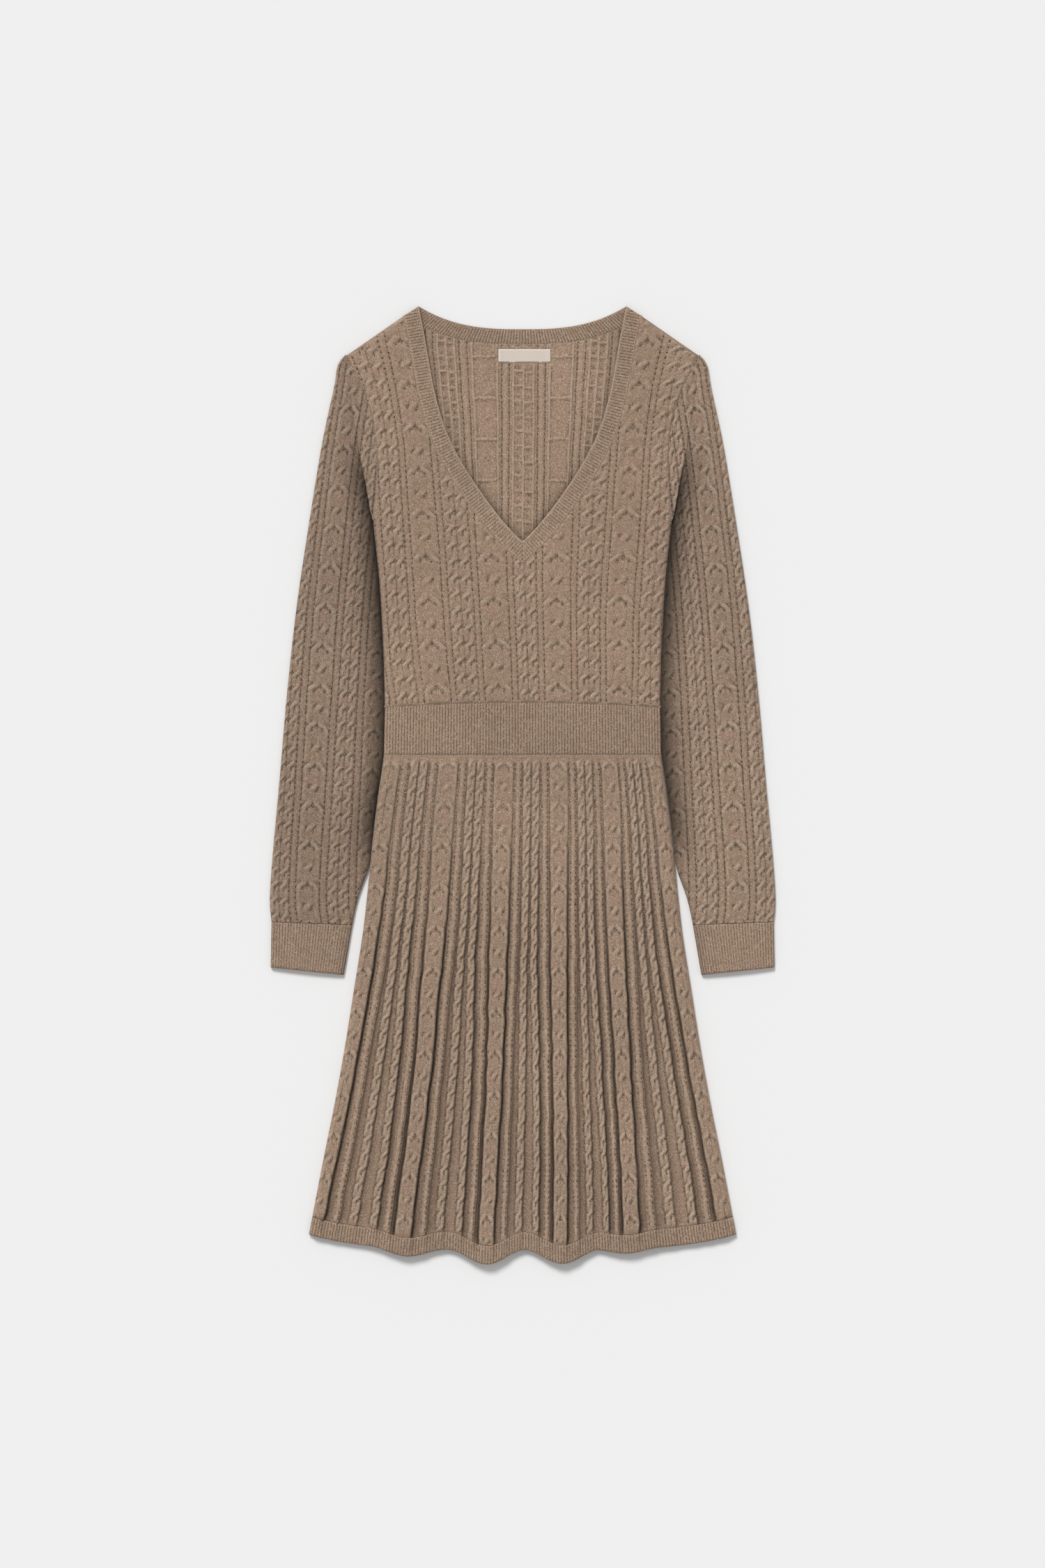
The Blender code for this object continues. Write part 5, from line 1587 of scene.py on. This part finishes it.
# ---------------------------------------------------------------- label
class DressLabel(bpy.types.Operator):
    """Makes the woven label at the back of the neck, bare, with the step of its folded ends"""

    bl_idname = "dress.label"
    bl_label = "Label"

    def execute(self, context):
        width, height, thick = LABEL_SIZE
        cx, cy = LABEL_CENTRE
        x = np.linspace(-width / 2, width / 2, 65)
        y = np.linspace(-height / 2, height / 2, 17)
        gx, gy = np.meshgrid(x, y, indexing="ij")
        near = np.minimum(width / 2 - np.abs(gx), height / 2 - np.abs(gy))
        fold = 0.18 * smooth(3.6, 3.0, width / 2 - np.abs(gx))
        wave = 0.10 * np.sin(gx * 0.21 + 0.6) + 0.06 * np.sin(gx * 0.47 + gy * 0.3)
        z = FRONT_UNDER + thick - 0.15 + fold + wave - edge_roll(near, 0.9, 0.35)
        count = gx.size
        index = np.arange(count).reshape(gx.shape)
        top, ring = grid_faces(index), grid_rim(index)
        faces = np.vstack((top, top[:, ::-1] + count, wall_faces(ring + count, ring)))
        plan = np.column_stack((gx.ravel() + cx, gy.ravel() + cy))
        points = np.vstack((
            np.column_stack((plan, z.ravel())),
            np.column_stack((plan, np.full(count, FRONT_UNDER + 0.05))),
        ))
        knit = plain_knit(np.vstack((plan, plan)) - (cx, cy))
        made = new_piece("cloth_label", points, faces, knit, label_material(), "label", "label")
        return {"FINISHED"}


# ---------------------------------------------------------------- seams
def chain_tree():
    """Nodes that set a row of chain stitches, two slanting loops each, along a line."""
    tree = bpy.data.node_groups.new("chain_stitches", "GeometryNodeTree")
    tree.interface.new_socket("Geometry", in_out="INPUT", socket_type="NodeSocketGeometry")
    for word in ("Spacing", "Loop length", "Loop width", "Slant", "Unevenness"):
        tree.interface.new_socket(word, in_out="INPUT", socket_type="NodeSocketFloat")
    tree.interface.new_socket("Seed", in_out="INPUT", socket_type="NodeSocketInt")
    tree.interface.new_socket("Yarn", in_out="INPUT", socket_type="NodeSocketMaterial")
    tree.interface.new_socket("Geometry", in_out="OUTPUT", socket_type="NodeSocketGeometry")
    given = add(tree, "NodeGroupInput").outputs
    line = add(tree, "GeometryNodeMeshToCurve", {"Mesh": given["Geometry"]}).outputs[0]
    dots = add(
        tree, "GeometryNodeCurveToPoints", {"Curve": line, "Length": given["Spacing"]}, mode="LENGTH"
    ).outputs
    turned = add(
        tree, "FunctionNodeAlignRotationToVector", {"Vector": dots["Tangent"]}, axis="X", pivot_axis="Z"
    ).outputs[0]
    ball = add(tree, "GeometryNodeMeshIcoSphere", {"Radius": 0.5, "Subdivisions": 1}).outputs[0]
    width = given["Loop width"]
    size = add(tree, "ShaderNodeCombineXYZ", {0: given["Loop length"], 1: width, 2: width}).outputs[0]
    loops = add(tree, "GeometryNodeJoinGeometry")
    for side in (1.0, -1.0):
        angle = math_node(tree, "MULTIPLY", given["Slant"], side)
        apart = math_node(tree, "MULTIPLY", width, side * 0.55)
        placed = {
            "Geometry": ball, "Scale": size,
            "Rotation": add(tree, "ShaderNodeCombineXYZ", {2: angle}).outputs[0],
            "Translation": add(tree, "ShaderNodeCombineXYZ", {1: apart}).outputs[0],
        }
        loop = add(tree, "GeometryNodeTransform", placed).outputs[0]
        tree.links.new(loop, loops.inputs[0])
    least = math_node(tree, "SUBTRACT", 1.0, given["Unevenness"])
    most = math_node(tree, "ADD", 1.0, given["Unevenness"])
    sizes = {2: least, 3: most, "Seed": given["Seed"]}
    drawn = add(tree, "FunctionNodeRandomValue", sizes, data_type="FLOAT").outputs[1]
    row = add(tree, "GeometryNodeInstanceOnPoints", {
        "Points": dots["Points"], "Instance": loops.outputs[0], "Rotation": turned, "Scale": drawn,
    }).outputs[0]
    row = add(tree, "GeometryNodeRealizeInstances", {0: row}).outputs[0]
    row = add(tree, "GeometryNodeSetShadeSmooth", {"Geometry": row}).outputs[0]
    row = add(tree, "GeometryNodeSetMaterial", {"Geometry": row, "Material": given["Yarn"]}).outputs[0]
    add(tree, "NodeGroupOutput", {"Geometry": row})
    return tree


def over_front(line, above=0.1):
    """Points in space of a line that lies on the front panels."""
    line = resampled(line, 2.0)
    return np.column_stack((line, front_outer(line[:, 0], line[:, 1]) + above))


class DressSeams(bpy.types.Operator):
    """Makes the rows of chain stitches that join the panels and the bands"""

    bl_idname = "dress.seams"
    bl_label = "Seams"

    def execute(self, context):
        tree = chain_tree()
        half = body_half_width(WAIST_LOW_Y) - 1.0
        neck = neck_offset(BAND_WIDTH)
        back = resampled(back_neck(BACK_BAND_WIDTH), 2.0)[3:-3]
        back = np.column_stack((back, np.full(len(back), BACK_TOP)))
        low = np.array([(-half, WAIST_LOW_Y), (half, WAIST_LOW_Y)])
        cuff = resampled(np.array([CUFF_INNER[1], CUFF_OUTER[1]]), 3.0)
        cuff = np.column_stack((cuff, cuff_roof(cuff[:, 0], cuff[:, 1] - 0.2) + WALL - 0.1))
        armhole, turn = over_front(ARMHOLE_CURVE[1:-1]), np.array((-1.0, 1.0, 1.0))
        rows = {
            "neck": (over_front(neck), over_front(neck) * turn, back),
            "waist": (over_front(waist_seam()), over_front(low)),
            "cuff_right": (cuff[1:-1],),
            "cuff_left": (cuff[1:-1] * turn,),
            "armholes": (armhole, armhole * turn),
        }
        for seed, (word, lines) in enumerate(rows.items(), start=3):
            self.row(tree, "seam_" + word, lines, seed)
        return {"FINISHED"}

    def row(self, tree, name, lines, seed):
        points = np.vstack(lines) * MM
        starts = np.cumsum([0, *map(len, lines)])
        edges = [(i, i + 1) for a, b in zip(starts, starts[1:]) for i in range(a, b - 1)]
        mesh = bpy.data.meshes.new(name + "_line")
        mesh.from_pydata(points.tolist(), edges, [])
        drawn = bpy.data.objects.new(name + "_line", mesh)
        bpy.context.scene.collection.objects.link(drawn)
        modifier = drawn.modifiers.new("stitches", "NODES")
        modifier.node_group = tree
        values = {
            "Spacing": 1.75 * MM, "Loop length": 1.9 * MM, "Loop width": 0.72 * MM, "Slant": 0.5,
            "Unevenness": 0.16, "Seed": seed, "Yarn": seam_material(),
        }
        for item in tree.interface.items_tree:
            if item.in_out == "INPUT" and item.name in values:
                modifier[item.identifier] = values[item.name]
        evaluated = drawn.evaluated_get(bpy.context.evaluated_depsgraph_get())
        plain = bpy.data.meshes.new_from_object(evaluated)
        drawn.modifiers.clear()
        bpy.data.objects.remove(drawn)
        made = bpy.data.objects.new(name, plain)
        bpy.context.scene.collection.objects.link(made)
        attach(made, "root")


# ---------------------------------------------------------------- materials
def add(tree, kind, inputs=None, **settings):
    """Adds one node; inputs maps a socket to a value or to another node's output."""
    node = tree.nodes.new(kind)
    for name, value in settings.items():
        setattr(node, name, value)
    for socket, value in (inputs or {}).items():
        if isinstance(value, bpy.types.NodeSocket):
            tree.links.new(value, node.inputs[socket])
        else:
            node.inputs[socket].default_value = value
    return node


def math_node(tree, operation, *values):
    return add(tree, "ShaderNodeMath", dict(enumerate(values)), operation=operation).outputs[0]


def blend(tree, factor, first, second, kind="MIX"):
    inputs = {"Factor": factor, 6: first, 7: second}
    return add(tree, "ShaderNodeMix", inputs, data_type="RGBA", blend_type=kind).outputs[2]


def ramp(tree, value, low, high, from_value=0.0, to_value=1.0):
    inputs = {"Value": value, "From Min": low, "From Max": high, "To Min": from_value, "To Max": to_value}
    return add(tree, "ShaderNodeMapRange", inputs, interpolation_type="SMOOTHSTEP").outputs[0]


def noise(tree, coordinates, scale, detail=2.0, rough=0.5):
    inputs = {"Vector": coordinates, "Scale": scale, "Detail": detail, "Roughness": rough}
    return add(tree, "ShaderNodeTexNoise", inputs).outputs["Fac"]


def opaque(value):
    return (*value, 1.0)


def darker(value, share):
    return opaque([share * part for part in value])


def set_sockets(shader, values):
    for name, value in values.items():
        shader.inputs[name].default_value = value


def new_material(name):
    material = bpy.data.materials.new(name)
    material.use_nodes = True
    tree = material.node_tree
    return material, tree, tree.nodes["Principled BSDF"]


YARN_NOISE = {
    # cells in a metre, then the size of one
    "heather": 1150.0,       # 0.87 mm: pale and dark fibres
    "streak": 1250.0,        # 0.8 mm across and twice that along: fuzz
    "patch": 110.0,          # 9 mm: rose patches
    "drift": 7.0,            # 140 mm: slow change of tone
    "across": 230.0,         # 4.3 mm: how the columns of stitches wander
    "along": 180.0,          # 5.6 mm: how the rows wander
    "eyelet": 150.0,         # 6.7 mm: how far each eyelet is open
}
SLANT = 1.1                  # how steeply a stitch's leg rises: rows over the width of a column


def knitted(name, tone, furrow_shade_share):
    """Brushed wool-blend yarn, knitted: matt, with a halo of fibres that softens every stitch.

    Heather runs through it as pale and dark fibres, and it shifts to rose in patches a centimetre
    or two wide. Crests of the relief get a painted highlight, and its hollows and the furrows between
    stitches get painted shade; the shade attribute paints more shade.
    """
    found = bpy.data.materials.get(name)
    if found:
        return found
    sizes, colours = knit_sizes(), yarn()
    material, tree, shader = new_material(name)
    place = add(tree, "ShaderNodeTexCoord").outputs["Object"]
    knit = add(tree, "ShaderNodeUVMap", uv_map="knit").outputs["UV"]
    parts = add(tree, "ShaderNodeSeparateXYZ", {0: knit}).outputs
    u, v = parts[0], parts[1]
    data = {
        word: add(tree, "ShaderNodeAttribute", attribute_name=word).outputs["Fac"] for word in KNIT_DATA
    }
    wale, course = sizes.wale / MM, sizes.course / MM
    # the columns and rows of stitches wander by a few tenths of a millimetre
    u = math_node(tree, "MULTIPLY_ADD", noise(tree, place, YARN_NOISE["across"]), 1.1, u)
    v = math_node(tree, "MULTIPLY_ADD", noise(tree, place, YARN_NOISE["along"]), 1.3, v)
    # plain side: each stitch has two slanting legs, and the deepest furrow lies between two columns
    across = math_node(tree, "FRACT", math_node(tree, "DIVIDE", u, wale))
    off = math_node(tree, "ABSOLUTE", math_node(tree, "SUBTRACT", across, 0.5))
    side = math_node(tree, "DIVIDE", math_node(tree, "SUBTRACT", off, 0.22), 0.28)
    leg = math_node(tree, "SUBTRACT", 1.0, math_node(tree, "MULTIPLY", side, side))
    rows = math_node(tree, "DIVIDE", v, course)
    row = math_node(tree, "ADD", rows, math_node(tree, "MULTIPLY", off, SLANT))
    beat = math_node(tree, "COSINE", math_node(tree, "MULTIPLY", row, 2 * math.pi))
    plain = math_node(tree, "MULTIPLY", leg, math_node(tree, "MULTIPLY_ADD", beat, 0.12, 0.85))
    # reverse side: rows of small bars, softer than the plain side's columns
    turn = math_node(tree, "MULTIPLY", rows, 2 * math.pi)
    bars = math_node(tree, "MULTIPLY_ADD", math_node(tree, "COSINE", turn), 0.2, 0.6)
    bars = math_node(tree, "MULTIPLY_ADD", leg, 0.22, bars)
    stitch = add(tree, "ShaderNodeMix", {0: data["purl"], 2: plain, 3: bars}, data_type="FLOAT").outputs[0]
    stretched = add(tree, "ShaderNodeMapping", {0: place, 3: (1.0, 0.5, 1.0)}).outputs[0]
    # heather and fuzz, drawn a little coarser than single fibres so that they show
    heather = noise(tree, place, YARN_NOISE["heather"], 3.0, 0.7)
    streak = noise(tree, stretched, YARN_NOISE["streak"], 2.0, 0.6)
    patch = ramp(tree, noise(tree, stretched, YARN_NOISE["patch"], 2.0, 0.5), 0.55, 0.72)
    drift = noise(tree, place, YARN_NOISE["drift"], 1.0, 0.5)
    base = blend(tree, math_node(tree, "MULTIPLY", patch, 0.6), opaque(tone), opaque(colours.rose))
    # painted shade in the furrows between the stitches
    furrow = ramp(tree, stitch, 0.5, 0.0, 0.0, furrow_shade_share)
    base = blend(tree, furrow, base, darker(colours.dark_fibre_and_shade, 0.7))
    # painted shade in the hollows of the relief and a painted highlight on its crests
    hollow = ramp(tree, data["relief"], 0.0, -1.0, 0.0, 0.75)
    painted_crest_highlight = ramp(tree, data["relief"], 0.1, 0.9, 0.0, 0.45)
    base = blend(tree, hollow, base, darker(colours.dark_fibre_and_shade, 0.4))
    base = blend(tree, painted_crest_highlight, base, opaque(colours.light))
    dark_fibre = ramp(tree, heather, 0.53, 0.32, 0.0, 0.72)
    base = blend(tree, dark_fibre, base, darker(colours.dark_fibre_and_shade, 0.75))
    base = blend(tree, ramp(tree, streak, 0.49, 0.66, 0.0, 0.60), base, opaque(colours.light))
    # eyelets: upright openings along the lines between the lanes, some half closed, painted dark with the
    # shade inside them
    pitch = sizes.eyelet_pitch / MM
    beat = math_node(tree, "FRACT", math_node(tree, "ADD", math_node(tree, "DIVIDE", v, pitch), 0.5))
    upward = math_node(tree, "MULTIPLY", math_node(tree, "SUBTRACT", beat, 0.5), pitch)
    beside = math_node(tree, "DIVIDE", data["eyelet"], 0.75)
    squares = [math_node(tree, "MULTIPLY", part, part) for part in (upward, beside)]
    far = math_node(tree, "SQRT", math_node(tree, "ADD", *squares))
    open_share = math_node(tree, "MULTIPLY_ADD", noise(tree, place, YARN_NOISE["eyelet"]), 0.9, 0.42)
    eyelet_shade = math_node(tree, "MULTIPLY", ramp(tree, far, 1.0, 0.4), open_share)
    base = blend(tree, eyelet_shade, base, opaque(colours.eyelet_shade))
    # painted shade from the shade attribute, times a slow random drift of tone
    shade = math_node(tree, "MULTIPLY_ADD", data["shade"], -0.86, ramp(tree, drift, 0.35, 0.65, 0.96, 1.04))
    painted_shade_and_drift = add(tree, "ShaderNodeCombineColor", {0: shade, 1: shade, 2: shade}).outputs[0]
    base = blend(tree, 1.0, base, painted_shade_and_drift, "MULTIPLY")
    tree.links.new(base, shader.inputs["Base Color"])
    fuzz = math_node(tree, "MULTIPLY_ADD", heather, 0.9, math_node(tree, "MULTIPLY", streak, 0.6))
    height = math_node(tree, "ADD", math_node(tree, "MULTIPLY", stitch, 0.5), fuzz)
    bump = add(tree, "ShaderNodeBump", {"Strength": 1.0, "Distance": 0.0005, "Height": height})
    tree.links.new(bump.outputs[0], shader.inputs["Normal"])
    set_sockets(shader, {
        "Roughness": 0.92, "Specular IOR Level": 0.2, "Sheen Weight": 0.25, "Sheen Roughness": 0.55,
        "Sheen Tint": opaque(colours.light),
    })
    return material


def knit_material():
    return knitted("brushed_wool_blend_cable_knit", yarn().tan, 0.20)


def rib_material():
    return knitted("brushed_wool_blend_rib_knit", yarn().tan, 0.12)


def seam_material():
    """The seams' yarn: the same brushed wool blend in pale loops, without the painted shade of the knit's
    hollows.
    """
    found = bpy.data.materials.get("brushed_wool_blend_seam_yarn")
    if found:
        return found
    colours = yarn()
    material, tree, shader = new_material("brushed_wool_blend_seam_yarn")
    place = add(tree, "ShaderNodeTexCoord").outputs["Object"]
    heather = noise(tree, place, YARN_NOISE["heather"], 3.0, 0.7)
    base = blend(tree, ramp(tree, heather, 0.35, 0.65), opaque(colours.tan), opaque(colours.light))
    tree.links.new(base, shader.inputs["Base Color"])
    bump = add(tree, "ShaderNodeBump", {"Strength": 0.8, "Distance": 0.0003, "Height": heather})
    tree.links.new(bump.outputs[0], shader.inputs["Normal"])
    set_sockets(shader, {"Roughness": 0.92, "Sheen Weight": 0.25})
    return material


PICK = 0.45                  # millimetres, coarser than the real thread so that it shows


def label_material():
    """Woven polyester satin: fine flat ribs with a soft even shine, and paler edges and ends."""
    found = bpy.data.materials.get("woven_polyester_label")
    if found:
        return found
    colours = yarn()
    material, tree, shader = new_material("woven_polyester_label")
    knit = add(tree, "ShaderNodeUVMap", uv_map="knit").outputs["UV"]
    parts = add(tree, "ShaderNodeSeparateXYZ", {0: knit}).outputs
    pick = math_node(tree, "SINE", math_node(tree, "MULTIPLY", parts[1], 2 * math.pi / PICK))
    edge = math_node(tree, "ABSOLUTE", parts[1])
    half_width, half_height = LABEL_SIZE[0] / 2, LABEL_SIZE[1] / 2
    rim = ramp(tree, edge, half_height - 1.3, half_height - 0.7)
    ends = ramp(tree, math_node(tree, "ABSOLUTE", parts[0]), half_width - 1.6, half_width - 0.9)
    bound = math_node(tree, "MAXIMUM", rim, ends)
    base = blend(tree, bound, opaque(colours.label), opaque(colours.label_edge))
    base = blend(tree, ramp(tree, pick, -1.0, 1.0, 0.0, 0.08), base, opaque(colours.tan))
    tree.links.new(base, shader.inputs["Base Color"])
    bump = add(tree, "ShaderNodeBump", {"Strength": 0.5, "Distance": 0.0001, "Height": pick})
    tree.links.new(bump.outputs[0], shader.inputs["Normal"])
    set_sockets(shader, {"Roughness": 0.55, "Sheen Weight": 0.15})
    return material


# ---------------------------------------------------------------- stage
FLOOR_HALF, FLOOR_LEVEL = 16.0, -0.0002      # metres
KEY_DIRECTION, KEY_SPREAD = (-0.40, 1.0, 1.1), 20.0
CAMERA_PLACE_Y = 0.001
SENSOR_WIDTH, CLIP_END = 36.0, 20.0


class DressStage(bpy.types.Operator):
    """Makes the plain pale floor, the soft light and the camera straight above"""

    bl_idname = "dress.stage"
    bl_label = "Stage"

    def execute(self, context):
        scene = context.scene
        studio = scene.dress_studio
        mesh = bpy.data.meshes.new("floor")
        half = FLOOR_HALF
        plan = ((-half, -half), (half, -half), (half, half), (-half, half))
        corners = [(x, y, FLOOR_LEVEL) for x, y in plan]
        mesh.from_pydata(corners, [], [(0, 1, 2, 3)])
        floor = bpy.data.objects.new("floor", mesh)
        scene.collection.objects.link(floor)
        material, tree, shader = new_material("matt_paper_backdrop")
        # seamless paper: matt, with hardly any tooth
        place = add(tree, "ShaderNodeTexCoord").outputs["Object"]
        tooth = noise(tree, place, 900.0)
        bump = add(tree, "ShaderNodeBump", {"Strength": 0.1, "Distance": 0.0001, "Height": tooth})
        tree.links.new(bump.outputs[0], shader.inputs["Normal"])
        set_sockets(shader, {
            "Base Color": opaque(studio.floor), "Roughness": 1.0, "Specular IOR Level": 0.0,
        })
        mesh.materials.append(material)

        world = bpy.data.worlds.new("studio")
        world.use_nodes = True
        white = (1.0, 1.0, 1.0, 1.0)
        set_sockets(world.node_tree.nodes["Background"], {"Color": white, "Strength": studio.fill})
        scene.world = world
        lamp = bpy.data.lights.new("key", "SUN")
        lamp.energy = studio.key
        lamp.angle = math.radians(KEY_SPREAD)
        key = bpy.data.objects.new("key", lamp)
        key.rotation_euler = Vector(KEY_DIRECTION).to_track_quat("Z", "Y").to_euler()
        scene.collection.objects.link(key)

        lens = bpy.data.cameras.new("camera")
        lens.lens = studio.lens
        lens.sensor_width = SENSOR_WIDTH
        lens.clip_end = CLIP_END
        camera = bpy.data.objects.new("camera", lens)
        camera.location = (0.0, CAMERA_PLACE_Y, studio.camera_height)
        scene.collection.objects.link(camera)
        scene.camera = camera
        scene.view_settings.view_transform = "Standard"
        return {"FINISHED"}


# ---------------------------------------------------------------- the add-on
OPERATORS = (
    DressStage, DressBodice, DressNeckbands, DressLabel, DressWaistbands, DressSkirt, DressHem,
    DressSleeves, DressCuffs, DressSeams,
)


class DressPanel(bpy.types.Panel):
    """Lists the makers and their sizes"""

    bl_idname = "VIEW3D_PT_dress"
    bl_label = "Sweater dress"
    bl_space_type = "VIEW_3D"
    bl_region_type = "UI"
    bl_category = "Dress"

    def draw(self, context):
        for maker in OPERATORS:
            self.layout.operator(maker.bl_idname)
        for group in (context.scene.dress_knit, context.scene.dress_yarn, context.scene.dress_studio):
            for name in group.__annotations__:
                self.layout.prop(group, name)


GROUPS = {"dress_knit": KnitSizes, "dress_yarn": YarnColours, "dress_studio": StudioSizes}


def register():
    for made in (*GROUPS.values(), *OPERATORS, DressPanel):
        bpy.utils.register_class(made)
    for name, group in GROUPS.items():
        setattr(bpy.types.Scene, name, bpy.props.PointerProperty(type=group))


def unregister():
    for name in GROUPS:
        delattr(bpy.types.Scene, name)
    for made in (DressPanel, *reversed(OPERATORS), *GROUPS.values()):
        bpy.utils.unregister_class(made)


def main():
    register()
    for maker in OPERATORS:
        group, name = maker.bl_idname.split(".")
        getattr(getattr(bpy.ops, group), name)()


if __name__ == "__main__":
    main()
